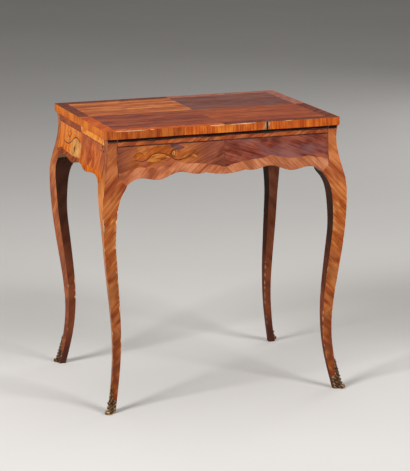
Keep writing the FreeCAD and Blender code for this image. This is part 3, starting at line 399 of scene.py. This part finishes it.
def make(name, parts, finish, body, crease=35):
    """One piece from its solids, riding on its body."""
    points, faces, grain, relief = [], [], [], []
    for spots, polygons, along, raised in parts:
        faces += [tuple(len(points) + i for i in face) for face in polygons]
        points += spots
        grain += along
        relief += raised
    mesh = bpy.data.meshes.new(name)
    mesh.from_pydata([tuple(p) for p in points], [], faces)
    flat = [c for g in grain for c in g]
    mesh.attributes.new("grain", "FLOAT_VECTOR", "POINT").data.foreach_set("vector", flat)
    mesh.attributes.new("relief", "FLOAT", "POINT").data.foreach_set("value", relief)
    mesh.shade_smooth()
    mesh.set_sharp_from_angle(angle=math.radians(crease))
    mesh.materials.append(finish)
    piece = bpy.data.objects.new(name, mesh)
    bpy.context.scene.collection.objects.link(piece)
    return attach(piece, body)


def ease(t):
    """A smooth step from 0 to 1."""
    return t * t * (3 - 2 * t)


def flow(stations, step):
    """A smooth line through the stations, sampled about every step."""
    line = []
    ends = [2 * Vector(stations[0]) - Vector(stations[1])] + [Vector(s) for s in stations]
    ends.append(2 * ends[-1] - ends[-2])
    for before, start, end, after in zip(ends, ends[1:], ends[2:], ends[3:]):
        count = max(1, round((end - start).length / step))
        for i in range(count):
            t = i / count
            line.append(0.5 * (2 * start + (end - before) * t
                               + (2 * before - 5 * start + 4 * end - after) * t * t
                               + (3 * start - before - 3 * end + after) * t ** 3))
    return line + [Vector(stations[-1])]


def height_at(stations, at):
    """The height of a line of (distance, height) stations at a distance from the middle."""
    at = abs(at)
    for (a, low), (b, high) in zip(stations, stations[1:]):
        if at <= b:
            return low + (high - low) * ease((at - a) / (b - a))
    return stations[-1][1]


# The sides of the frame


def surface(*names):
    """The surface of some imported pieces, to cast rays on."""
    points, faces = [], []
    for name in names:
        mesh = nodes[name].data
        faces += [[len(points) + i for i in p.vertices] for p in mesh.polygons]
        points += [v.co.copy() for v in mesh.vertices]
    return BVHTree.FromPolygons(points, faces)


# For each side: along it as seen from outside, out of it, its surface, a depth inside its board and its
# half length.
SIDES = {
    "front": (X, -Y, surface("apron_front", "leg_front_left", "leg_front_right"), 0.225, 0.261),
    "rear": (-X, Y, surface("apron_rear", "leg_rear_left", "leg_rear_right"), 0.225, 0.261),
    "left": (-Y, -X, surface("apron_left", "leg_front_left", "leg_rear_left"), 0.296, 0.190),
    "right": (Y, X, surface("right_upper_rail", "leg_front_right", "leg_rear_right"), 0.296, 0.190),
    "drawer": (Y, X, surface("drawer_front"), 0.295, 0.190),
}
CLEAR = 0.6  # metres from the table's middle and outside the table: rays start here
BELOW = 0.45  # metres up and under the scalloped edges: rays up to them start here

# What follows is in millimetres. First, half the width of the sheets on a long side, on an end and on the
# drawer, and where the drawer's scalloped edge stops.
LONG_EDGE, SHORT_EDGE, DRAWER_EDGE, DRAWER_HEM = 280, 209, 188.8, 188.6
# The band under the top, the upper edge of the drawer's sheets, and the lines between the fields and their
# borders.
BAND_FOOT, BAND_HEAD, DRAWER_HEAD = 680.0, 699.6, 679.0
LONG_BORDER = ((0, 613), (27, 619.4), (53, 624.3), (80, 627), (100, 627.5), (124, 634), (148, 628),
               (180, 622.5), (199, 623), (224, 626), (250, 621), (280, 614))
SHORT_BORDER = ((0, 612), (40, 609.5), (140, 610), (170, 614), (209, 606))
KEYHOLE, KEYHOLE_ROOM = (0.0, 655.2), 8.5
SEAM_HALF = 1.0
SHADOW_REACH = 304
GLUED = 0.15  # how far a sheet sinks into what carries it


def on_side(side, s, z, lift):
    """The point s along a side and z up it, lift above its surface."""
    along, out, tree, depth, _ = SIDES[side]
    spot = along * (s * MM) + UP * (z * MM)
    hit = tree.ray_cast(spot + out * CLEAR, -out, 0.4)[0] or tree.find_nearest(spot + out * depth)[0]
    return hit + out * (lift * MM)


def hem(side, s):
    """The height of the scalloped lower edge. Past the apron it slants up over the post."""
    along, out, tree, depth, half = SIDES[side]
    reach = half / MM
    limit = DRAWER_HEM if side == "drawer" else reach - 0.6
    inside = max(-limit, min(limit, s))
    hit = tree.ray_cast(along * (inside * MM) + out * depth + UP * BELOW, UP, 0.25)[0]
    return hit.z / MM + 0.5 + max(0.0, abs(s) - reach)


def ripple(height, *waves):
    """An uneven edge at a height: each wave is a rise and a length."""
    return lambda s: sum((rise * math.sin(s / length) for rise, length in waves), height)


def panel(across, low, high, rows, keyhole=None):
    """A grid of points and faces, about 4 mm apart, between a low and a high edge. An edge is a height, or
    a function of the distance along the side. Faces round a keyhole are left out."""
    start, end = across
    count = max(1, round((end - start) / 4))
    points, faces = [], []
    for i in range(count + 1):
        s = start + (end - start) * i / count
        bottom, top = [edge(s) if callable(edge) else edge for edge in (low, high)]
        points += [(s, bottom + (top - bottom) * j / rows) for j in range(rows + 1)]
    for i in range(count):
        for j in range(rows):
            a = i * (rows + 1) + j
            middle = (Vector(points[a]) + Vector(points[a + rows + 2])) / 2
            if keyhole and (middle - Vector(keyhole)).length < KEYHOLE_ROOM:
                continue
            faces.append((a, a + rows + 1, a + rows + 2, a + 1))
    return points, faces


def seam(s, foot):
    """An upright seam, s along a side, from a foot to the head of the band."""
    return panel((s - SEAM_HALF, s + SEAM_HALF), foot, BAND_HEAD, 24)


def ribbon(stations, width, taper=0.0, step=3.0):
    """A strip along a smooth line, thinner towards its ends where it tapers."""
    line = flow(stations, step)
    last = len(line) - 1
    points = []
    for i, spot in enumerate(line):
        way = (line[min(i + 1, last)] - line[max(i - 1, 0)]).normalized()
        t = i / last
        aside = Vector((way.y, -way.x)) * (width / 2 * (1 - taper * (2 * t - 1) ** 4))
        points += [tuple(spot + aside), tuple(spot - aside)]
    return points, [(2 * i, 2 * i + 2, 2 * i + 3, 2 * i + 1) for i in range(last)]


def fan(outline):
    """A flat shape filled from its middle."""
    outline = [Vector(p) for p in outline]
    count = len(outline)
    middle = sum(outline, Vector((0, 0))) / count
    points = [tuple(p) for p in [middle] + outline]
    return points, [(0, 1 + i, 1 + (i + 1) % count) for i in range(count)]


def oval(middle, wide, tall, tilt=0, lobes=0, depth=0.0, count=36):
    """An oval, lobed where it is a flower."""
    turn = Matrix.Rotation(math.radians(tilt), 2)
    spots = []
    for i in range(count):
        a = 2 * math.pi * i / count
        r = 1 + depth * math.cos(lobes * a)
        spots.append(Vector(middle) + turn @ Vector((wide * r * math.cos(a), tall * r * math.sin(a))))
    return fan(spots)


def leaf(stem, tip, wide, bend=0.0):
    """A lens-shaped leaf from its stem to its tip."""
    start, end = Vector(stem), Vector(tip)
    way = end - start
    side = Vector((-way.y, way.x)).normalized()
    upper, lower = [], []
    for i in range(13):
        t = i / 12
        mid = start + way * t + side * bend * math.sin(math.pi * t)
        half = wide / 2 * abs(math.sin(math.pi * t ** 0.8))
        upper.append(mid + side * half)
        lower.append(mid - side * half)
    return fan(lower + upper[::-1][1:-1])


def lay(name, side, shapes, finish, lift=0.25, body="table", folded=False):
    """Veneer glued on a side: each shape becomes a thin solid that follows the curve of what carries it.
    What has more lift lies over what has less. Folded grain is measured from the middle, so that it slants
    the other way on the other half."""
    out = SIDES[side][1]
    parts = []
    for points, faces in shapes:
        top = [on_side(side, s, z, lift) for s, z in points]
        back = [p - out * ((lift + GLUED) * MM) for p in top]
        grain = [((abs(s) if folded else s) * MM, z * MM, 0.0) for s, z in points]
        parts.append(closed(faces, top, back, grain))
    return make(name, parts, finish, body)


def sprig(side, tag):
    """The trailing stem, leaf, bud and flower in the pale half of a long side."""
    stem = ((-234, 643.5), (-215, 640.6), (-202.7, 645), (-190, 654.7), (-173.9, 658.2), (-157, 655.2),
            (-143.3, 647.6), (-129.8, 639.5), (-119.6, 638), (-102.4, 642.3), (-88.7, 649.6),
            (-74.9, 657.8))
    bud_stem = ((-238, 651), (-232, 659), (-222, 662), (-212, 657))
    flower = (-131, 655)
    curl = ((-135, 651), (-136.5, 656), (-133, 659.5), (-131, 656), (-132.5, 652.5), (-128.5, 650),
            (-126, 654), (-128, 658.5))
    turns = [math.pi * (0.35 + i / 7) for i in range(10)]
    ring = [(flower[0] + 10.2 * math.cos(a), flower[1] + 10.2 * math.sin(a)) for a in turns]
    lay(f"{tag}_leaf_glow", side, [leaf((-214, 648), (-128, 650), 30, 13)], BUD, 0.33)
    leaves = [leaf((-204, 641.5), (-138, 644), 13, 10), leaf((-206, 640), (-150, 634), 7, 3),
              leaf((-92, 650), (-72, 641), 6, 2), leaf((-116, 640), (-92, 655), 5, -2)]
    lay(f"{tag}_leaf", side, leaves, LEAF, 0.4)
    lay(f"{tag}_bud", side, [oval((-224.5, 653.5), 13.5, 8, -6)], BUD, 0.4)
    lay(f"{tag}_purple_leaf", side, [leaf((-143, 679), (-103, 668), 15, -3)], PURPLE, 0.36)
    lay(f"{tag}_flower", side, [oval(flower, 9.6, 9.6, 0, 5, 0.07)], BUD, 0.42)
    lay(f"{tag}_flower_curl", side, [ribbon(curl, 1.7, 0.4, 1.5)], PETAL, 0.5)
    lay(f"{tag}_stem", side, [ribbon(stem, 2.2, 0.35), ribbon(ring, 1.8, 0.5, 2.0),
                              ribbon(bud_stem, 1.6, 0.6, 2.0)], STEM, 0.5)


def tulip(side, tag, body):
    """The vine and the tulip-shaped panel in the pale half of an end."""
    vine = ((-165, 634), (-150, 631), (-137, 631), (-114, 633), (-91, 642.4), (-73.7, 652), (-51, 658.2),
            (-34.6, 656.4), (-14, 651))
    tendril = ((-140, 664), (-126, 652), (-108, 652), (-98, 662), (-110, 668))
    cup = ((-97, 637), (-90, 624), (-80, 609), (-58, 611.5), (-34, 612.5), (-12, 614), (-6, 626), (-4, 640),
           (-14, 651), (-34.6, 655), (-51, 656.5), (-73.7, 650))
    curl = ((-158, 652), (-140, 643), (-122, 645), (-118, 655), (-130, 658), (-138, 652))
    wave = ((-96, 668), (-80, 664), (-66, 668), (-50, 666), (-30, 668))
    lay(f"{tag}_cup", side, [fan(cup)], CUP, 0.33, body)
    lay(f"{tag}_cup_lines", side, [ribbon(((-97, 637), (-88, 622), (-78, 610), (-8, 615)), 3.4),
                                   ribbon(((-6, 616), (-4, 640), (-14, 651)), 3.0)], PETAL, 0.42, body)
    growth = [ribbon(vine, 2.6, 0.3), leaf((-66, 632), (-48, 618), 7, 2),
              leaf((-62, 648), (-52, 630), 4, 1), ribbon(tendril, 1.8, 0.4)]
    lay(f"{tag}_vine", side, growth, STEM, 0.48, body)
    lay(f"{tag}_curls", side, [ribbon(curl, 2.0, 0.4), ribbon(wave, 2.0, 0.5)], PETAL, 0.44, body)


for side in ("front", "rear"):
    pale, dark, whole = (-LONG_EDGE, 0), (0, LONG_EDGE), (-LONG_EDGE, LONG_EDGE)
    line, lower = partial(height_at, LONG_BORDER), partial(hem, side)
    lay(f"{side}_field_pale", side, [panel(pale, line, BAND_FOOT, 14)], FIELD_LIGHT)
    lay(f"{side}_field_dark", side, [panel(dark, line, BAND_FOOT, 14)], FIELD_DARK)
    lay(f"{side}_upper_band", side, [panel(whole, BAND_FOOT, BAND_HEAD, 5)], BAND)
    lay(f"{side}_lower_border_pale", side, [panel(pale, lower, line, 7)], PALE_BORDER, folded=True)
    lay(f"{side}_lower_border", side, [panel(dark, lower, line, 7)], BORDER, folded=True)
    lay(f"{side}_stringing", side, [panel(whole, BAND_FOOT - 1.7, BAND_FOOT + 1.5, 1)], DARK_LINES_AND_SHADE, 0.36)
    lay(f"{side}_seams", side, [seam(-LONG_EDGE, 604), seam(LONG_EDGE, 604),
                                panel((-0.6, 0.6), line, BAND_FOOT - 1.2, 16)], SEAM, 0.5)
    # Painted shadow under the top's overhang: a dark line with a softer lower edge.
    lay(f"{side}_shadow_fringe_below", side, [
        panel((-SHADOW_REACH, SHADOW_REACH), ripple(690.6, (0.7, 23), (0.4, 7.1)), 694.5, 2)], DARK_LINES_AND_SHADE, 0.39)
    lay(f"{side}_shadow_under_top", side, [
        panel((-SHADOW_REACH, SHADOW_REACH), ripple(693.4, (0.9, 17), (0.5, 5.3)), 699.9, 2)], CRACK_AND_SHADOW, 0.42)
    sprig(side, f"{side}_sprig")

for side, tag, body, edge, head, keyhole in (
        ("left", "left_end", "table", SHORT_EDGE, BAND_FOOT, None),
        ("drawer", "drawer", "drawer", DRAWER_EDGE, DRAWER_HEAD, KEYHOLE)):
    pale, dark = (-edge, 0), (0, edge)
    line, lower = partial(height_at, SHORT_BORDER), partial(hem, side)
    seams = [seam(-edge, 600), seam(edge, 600)] if side == "left" else []
    lay(f"{tag}_field_pale", side, [panel(pale, line, head, 14, keyhole)], END_LIGHT, body=body)
    lay(f"{tag}_field_dark", side, [panel(dark, line, head, 14, keyhole)], END_DARK, body=body)
    lay(f"{tag}_pink_border", side, [panel(pale, lower, line, 6)], PINK_BORDER, body=body, folded=True)
    lay(f"{tag}_lower_border", side, [panel(dark, lower, line, 6)], END_BORDER, body=body, folded=True)
    strings = [panel((-edge, edge), head - 1.6, head - 0.1, 1), *seams]
    lay(f"{tag}_stringing", side, strings, DARK_LINES_AND_SHADE, 0.36, body)
    tulip(side, f"{tag}_marquetry", body)
for side in ("left", "right"):
    lay(f"{side}_end_band_rear", side, [panel((-SHORT_EDGE, 0), BAND_FOOT + 0.3, BAND_HEAD, 5)], END_BAND)
    lay(f"{side}_end_band_front", side, [panel((0, SHORT_EDGE), BAND_FOOT + 0.3, BAND_HEAD, 5)],
        BRIGHT_BAND)

# Legs: corners, chips and foot mounts

LEG_EDGES = {}
for corner in CORNERS:
    mesh = nodes[f"leg_{corner}"].data
    LEG_EDGES[corner] = [tuple(mesh.vertices[i].co.copy() for i in edge.vertices) for edge in mesh.edges]


def leg_corner(corner, z, way):
    """The point of a leg's section at a height that lies furthest in a direction."""
    spots = []
    z = max(z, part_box(f"leg_{corner}")[0].z / MM + 0.3)
    for a, b in LEG_EDGES[corner]:
        if (a.z - z * MM) * (b.z - z * MM) < 0:
            spots.append(a.lerp(b, (z * MM - a.z) / (b.z - a.z)))
    return max(spots, key=lambda p: p.x * way[0] + p.y * way[1])


def chip(corner, way, low, high, wide, rng):
    """A flake of lost veneer along a leg's corner, as a thin ragged solid that shows the pale wood."""
    away = Vector((*way, 0)).normalized()
    lift, sunk = away * (0.35 * MM), away * (1.2 * MM)
    outer, grain = [], []
    count = max(4, int((high - low) / 5))
    for i in range(count + 1):
        z = low + (high - low) * i / count
        here = leg_corner(corner, z, way)
        first = (leg_corner(corner, z, (-way[1], way[0])) - here).normalized()
        second = (leg_corner(corner, z, (way[1], -way[0])) - here).normalized()
        ragged = max(0.12, abs(math.sin(math.pi * i / count)) ** 0.5)
        one, two = (wide * MM * ragged * rng.uniform(0.35, 1.0) for _ in range(2))
        outer += [here + first * one + lift, here + lift * 1.3, here + second * two + lift]
        grain += [(0.0, z * MM, 0.0), (0.002, z * MM, 0.0), (0.004, z * MM, 0.0)]
    faces = [(3 * i + j, 3 * i + j + 1, 3 * i + j + 4, 3 * i + j + 3)
             for i in range(count) for j in range(2)]
    return closed(faces, outer, [p - sunk for p in outer], grain)


# Where each leg has lost veneer: which of its corners, from and to which height, and how wide.
# The long narrow rows from 200 mm up the outer corners of the front legs are pale lines of bare wood that
# also paint the highlights along those arrises.
CHIPS = {
    "front_left": (((1, -1), 470, 538, 5.0), ((1, -1), 425, 455, 5.0), ((1, -1), 360, 412, 6.5),
                   ((1, -1), 330, 352, 5.0), ((1, -1), 255, 318, 5.5), ((1, -1), 150, 196, 3.6),
                   ((-1, -1), 462, 507, 8.5), ((-1, -1), 120, 180, 3.2), ((-1, -1), 556, 590, 2.6),
                   ((-1, -1), 200, 430, 2.6)),
    "front_right": (((-1, -1), 130, 210, 3.4), ((-1, -1), 80, 118, 3.0), ((-1, -1), 300, 330, 2.4),
                    ((1, -1), 330, 420, 1.8), ((1, -1), 470, 560, 1.6), ((1, -1), 200, 300, 2.4)),
    "rear_left": (((1, -1), 188, 256, 5.5), ((-1, -1), 220, 232, 5.0), ((-1, 1), 300, 360, 2.2),
                  ((-1, -1), 96, 120, 2.4)),
    "rear_right": (((-1, -1), 222, 244, 6.5), ((-1, -1), 118, 212, 5.5), ((-1, -1), 56, 86, 5.5),
                   ((1, 1), 330, 400, 2.2)),
}
ONE_FLAKE = 8  # a loss wider than this is one flake, not a row of small ones
for corner, flakes in CHIPS.items():
    rng = random.Random(len(corner) * 7 + 3)
    bits = []
    for way, low, high, wide in flakes:
        z = low
        while z < high:
            top = high if wide > ONE_FLAKE else min(high, z + rng.uniform(8, 24))
            if top - z > 4:
                bits.append(chip(corner, way, z, top, wide * rng.uniform(0.45, 0.95), rng))
            z = top + rng.uniform(2, 12)
    finish = SCARRED if corner == "rear_right" else BARE_AND_HIGHLIT
    make(f"chips_{corner}", bits, finish, "table", 60)


def turned(middle, axis, profile, count=24):
    """A turned solid: profile is (along the axis, radius)."""
    side = axis.orthogonal().normalized()
    other = axis.cross(side)
    turns = [2 * math.pi * i / count for i in range(count)]
    spokes = [side * math.cos(a) + other * math.sin(a) for a in turns]
    rings = [[middle + axis * (along * MM) + spoke * (radius * MM) for spoke in spokes]
             for along, radius in profile]
    return stacked(rings, [min(1.0, radius / 6.5) for _, radius in profile for _ in turns])


def pearl(spot, out, size):
    """A small domed bead or boss, with its axis out of the metal."""
    rings = [(-1.2, 0.9 * size), (0.0, size), (0.45 * size, 0.88 * size), (0.8 * size, 0.55 * size),
             (0.95 * size, 0.15 * size)]
    return turned(spot, out, rings, 14)


def rosette(spot, out, size):
    """A rolled scroll seen end on: a raised rim, a hollow and an eye."""
    rings = [(-1.5, size), (1.2, size), (1.7, 0.9 * size), (1.6, 0.74 * size), (0.5, 0.66 * size),
             (0.4, 0.46 * size), (1.3, 0.38 * size), (1.9, 0.2 * size), (2.0, 0.06 * size)]
    return turned(spot, out, rings, 20)


def sole(corner):
    """The bronze plate under a foot, which closes its mount against the floor."""
    side, end = CORNERS[corner]
    ways = [(side, end), (side, -end), (-side, -end), (-side, end)]
    if side * end > 0:
        ways.reverse()
    rings = []
    for z, proud in ((0.0, -0.39), (0.3, 0.0), (2.2, 0.0), (2.8, -1.3)):
        ring = [leg_corner(corner, z, way) for way in ways]
        middle = sum(ring, Vector()) / 4
        ring = [spot + (spot - middle).normalized() * (proud * MM) for spot in ring]
        rings.append([Vector((spot.x, spot.y, z * MM)) for spot in ring])
    return stacked(rings, [0.1] * 4 * len(rings))


LEAF_FOOT, LEAF_TALL = 1.0, 77  # a foot mount's leaf starts this high above the floor and is this tall
# Half of the rolled toe, from its middle out to the side: along it, and its radius.
TOE = ((0, 4.8), (1.0, 4.5), (2.2, 4.1), (3.9, 4.7), (5.0, 5.4), (6.3, 5.2), (7.0, 4.1), (6.4, 3.5),
       (6.4, 2.2), (7.2, 1.8), (7.2, 0.6))


def foot_mount(corner):
    """The chased bronze on the outer corner of a foot: a ribbed, veined leaf with lobed edges, which widens
    over both outer faces near the floor, beads up its rib, and rolled scrolls at the toe and on the
    wings."""
    side, end = CORNERS[corner]
    out = Vector((side, end, 0)).normalized()
    across = Vector((side, -end, 0)).normalized()
    rows, columns = 60, 33
    outer, inner, relief, faces, details = [], [], [], [], []
    for j in range(rows + 1):
        v = j / rows
        z = LEAF_FOOT + LEAF_TALL * v
        arris = leg_corner(corner, z, (side, end))
        flanks = [leg_corner(corner, z, way) - arris for way in ((-side, end), (side, -end))]
        lobes = abs(math.cos(math.pi * (4.4 * v + 0.12))) ** 0.6
        half = max(0.7, 11.2 * (1 - v) ** 0.85 * (0.55 + 0.45 * lobes))
        half += max(0.0, 13.6 - half) * ease(min(1.0, max(0.0, (36 - z) / 8)))
        rise = 1.2 + 5.0 * (1 - v) ** 0.9
        for i in range(columns + 1):
            q = 2 * i / columns - 1
            flank = flanks[q > 0]
            hit = arris + flank.normalized() * (abs(q) * min(0.97 * flank.length, 2 ** 0.5 * half * MM))
            rib = (1 - abs(q)) ** 1.9
            vein = 0.5 + 0.5 * math.cos(2 * math.pi * (8.8 * v - 1.5 * abs(q)))
            edge = 1.0 if abs(q) > 0.84 else 0.0
            chased = 1.9 * vein * (1 - rib) * (1 - abs(q) ** 3) + 0.9 * edge
            high = 0.9 + rise * rib + chased * (1 - v) ** 0.4
            outer.append(hit + out * (high * MM))
            inner.append(hit - out * (0.6 * MM))
            if j == 0:
                outer[-1].z = inner[-1].z = 0.3 * MM
            relief.append(min(1.0, 0.05 + 0.7 * rib ** 1.4 + 0.7 * vein * (1 - rib) + 0.25 * edge))
        if j % 7 == 5:
            details.append(pearl(arris + out * ((rise + 0.7) * MM), out, 2.3 - 1.3 * v))
    faces_out = across.cross(UP).dot(out) > 0
    for j in range(rows):
        for i in range(columns):
            a = j * (columns + 1) + i
            face = (a, a + 1, a + columns + 2, a + columns + 1)
            faces.append(face if faces_out else tuple(reversed(face)))
    for way in (-1, 1):
        wing = leg_corner(corner, 14.0, (side, end)) + across * (way * 6.2 * MM) - out * (5.2 * MM)
        aside = (out + across * way).normalized()
        details.append(rosette(wing, aside, 4.4))
        details.append(rosette(wing + UP * (12.5 * MM) - across * (way * 1.2 * MM), aside, 3.0))
    toe = leg_corner(corner, 6.0, (side, end)) + out * (4.6 * MM)
    toe.z = 5.5 * MM
    scroll = [(-along, radius) for along, radius in TOE[:0:-1]] + list(TOE)
    solids = [closed(faces, outer, inner, None, relief), sole(corner), turned(toe, across, scroll),
              *details]
    piece = make(f"foot_mount_{corner}", solids, BRONZE, "table", 50)
    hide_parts(f"sabot_{corner}")


heads = []
for corner, (side, end) in CORNERS.items():
    foot_mount(corner)
    out = Vector((side, end, 0)).normalized()
    heads.append(pearl(leg_corner(corner, 62, (side, end)) + out * (3.0 * MM), out, 1.4))
pins = make("foot_mount_pins", heads, IRON, "table")
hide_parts("sabot_pins")

# Wear and painted highlights on the top edge, and three old nails

TOP_HEIGHT = 720
SUNK = 0.6  # how far the thin shapes on the edge sink into it
TOP_EDGES = surface(*[name for name in nodes if name.startswith("top_edge_")])


def front_of_top(x, z):
    """Where the front edge of the top lies, as y in metres."""
    return TOP_EDGES.ray_cast(Vector((x * MM, -CLEAR, z * MM)), Y, CLEAR)[0].y


def arris_wear_and_highlight(low, high, rng):
    """The rubbed upper corner of the banding, a thin pale strip that turns over the edge and also paints
    the highlight on the arris.
    """
    lift = 0.2 * MM
    count = int((high - low) / 4)
    outer, inner, grain = [], [], []
    for i in range(count + 1):
        x = low + (high - low) * i / count
        y = front_of_top(x, TOP_HEIGHT - 2)
        size = abs(math.sin(math.pi * i / count)) ** 0.4
        down, back = 1.9 * size * rng.uniform(0.6, 1), 2.4 * size * rng.uniform(0.6, 1)
        outer += [Vector((x * MM, y - lift, (TOP_HEIGHT - down) * MM)),
                  Vector((x * MM, y - lift, TOP_HEIGHT * MM + lift)),
                  Vector((x * MM, y + back * MM, TOP_HEIGHT * MM + lift))]
        grain += [(x * MM, 0.0, 0.0), (x * MM, 0.002, 0.0), (x * MM, 0.004, 0.0)]
        inner += [p + Vector((0, SUNK * MM, -SUNK * MM)) for p in outer[-3:]]
    faces = [(3 * i + j, 3 * i + 3 + j, 3 * i + 4 + j, 3 * i + 1 + j)
             for i in range(count) for j in range(2)]
    return closed(faces, outer, inner, grain)


def banding_scar(outline, lift):
    """A ragged shape on the front of the banding."""
    points, faces = fan(outline)
    outer = [Vector((x * MM, front_of_top(x, min(z, TOP_HEIGHT - 0.5)) - lift * MM, z * MM))
             for x, z in points]
    inner = [p + Y * (SUNK * MM) for p in outer]
    return closed(faces, outer, inner, [(x * MM, z * MM, 0) for x, z in points])


rng = random.Random(11)
# Spans of the front arris that are rubbed and carry a painted highlight, in millimetres.
HIGHLIT_SPANS = ((-286, -205), (-40, 0), (12, 84), (160, 182), (-196, -184))
strips = [arris_wear_and_highlight(low, high, rng) for low, high in HIGHLIT_SPANS]
make("front_arris_rub_and_highlight", strips, ARRIS_RUB_AND_HIGHLIGHT, "table", 60)
LEFT_CHIP = ((105, 701), (110.5, 700.3), (111.8, 706), (111.5, 715), (111.9, 719.6), (106, 719.7),
             (103.5, 713), (106, 707))
RIGHT_CHIP = ((115.4, 700.4), (120, 701), (119, 708), (122, 714), (121, 719.6), (116, 719.6), (115.2, 712),
              (116.4, 706))
GAP = ((111.6, 700.2), (115.4, 700.3), (116.2, 705), (115, 711), (116, 719.7), (111.9, 719.7), (111.2, 712),
       (112.4, 706))
make("banding_chips", [banding_scar(LEFT_CHIP, 0.25), banding_scar(RIGHT_CHIP, 0.25)], SCARRED, "table",
     60)
make("banding_crack", [banding_scar(GAP, 0.4)], CRACK_AND_SHADOW, "table", 60)

nails = []
for s, z, size in ((186, 673.5, 3.0), (176, 663, 2.6), (199, 664.5, 3.2)):
    profile = [(-3, 0.9), (0.1, 1.0), (0.15, size), (0.5, size), (0.9, size * 0.8), (1.1, size * 0.4),
               (1.15, 0.2)]
    nails.append(turned(on_side("left", s, z, 0.0), -X, profile, 16))
make("old_nail_heads", nails, IRON, "table", 50)

# Floor, light and camera

scene = bpy.context.scene
# The floor is plain and matt, with faint clouds, so it shows the table's shadow and little else.
FLOOR_CLOUD = 1250  # millimetres
ground, tree = fresh("matt_studio_floor")
spot = add(tree, "TexCoord")["Object"]
clouds = add(tree, "TexNoise", {"Vector": spot, "Scale": 1 / (FLOOR_CLOUD * MM), "Detail": 3.0})[0]
shade = add(tree, "ValToRGB", {0: clouds}, stops=((0.3, "#d9d6d2"), (0.7, "#dedbd7")))[0]
add(tree, "OutputMaterial", {0: add(tree, "BsdfPrincipled", {"Base Color": shade, "Roughness": 0.85})[0]})
mesh = bpy.data.meshes.new("floor")
mesh.from_pydata([(-30, -30, 0), (30, -30, 0), (30, 30, 0), (-30, 30, 0)], [], [(0, 1, 2, 3)])
mesh.materials.append(ground)
floor = bpy.data.objects.new("floor", mesh)
scene.collection.objects.link(floor)

AIM = Vector((0, 0, 0.5))
for name, spot, watts, size in (("left_softbox", (-3.6, -1.7, 3.0), 175, 1.4),
                                ("right_softbox", (1.9, -3.3, 3.4), 112, 1.4),
                                ("overhead_softbox", (0.2, 0.6, 4.4), 30, 2.6),
                                ("rear_softbox", (4.4, 2.7, 0.95), 55, 1.8)):
    lamp = bpy.data.lights.new(name, "AREA")
    lamp.energy, lamp.size = watts, size
    light = bpy.data.objects.new(name, lamp)
    scene.collection.objects.link(light)
    light.location = spot
    light.rotation_euler = (AIM - Vector(spot)).to_track_quat("-Z", "Y").to_euler()

world = bpy.data.worlds.new("studio")
scene.world = world
world.use_nodes = True
sky = world.node_tree.nodes["Background"].inputs
sky["Color"].default_value = linear("#e6e4e1")
sky["Strength"].default_value = 0.2
scene.view_settings.view_transform = "Standard"

# The camera was fitted to the corners of the top and the feet in the photo, which is 471 pixels tall.
FOCAL_PIXELS, PHOTO_PIXELS, SENSOR = 1968.03, 471, 36.0
lens = bpy.data.cameras.new("camera")
lens.sensor_width = SENSOR
lens.lens = FOCAL_PIXELS / PHOTO_PIXELS * SENSOR
lens.clip_end = 200
camera = bpy.data.objects.new("camera", lens)
scene.collection.objects.link(camera)
yaw, pitch, roll = math.radians(19.175), math.radians(12.984), math.radians(-0.356)
ahead = Vector((math.sin(yaw) * math.cos(pitch), math.cos(yaw) * math.cos(pitch), -math.sin(pitch)))
across = Vector((math.cos(yaw), -math.sin(yaw), 0))
above = across.cross(ahead)
right = across * math.cos(roll) + above * math.sin(roll)
over = above * math.cos(roll) - across * math.sin(roll)
place = Matrix((right, over, -ahead)).transposed().to_4x4()
place.translation = (-1.64148, -4.80181, 1.55391)
camera.matrix_world = place
scene.camera = camera
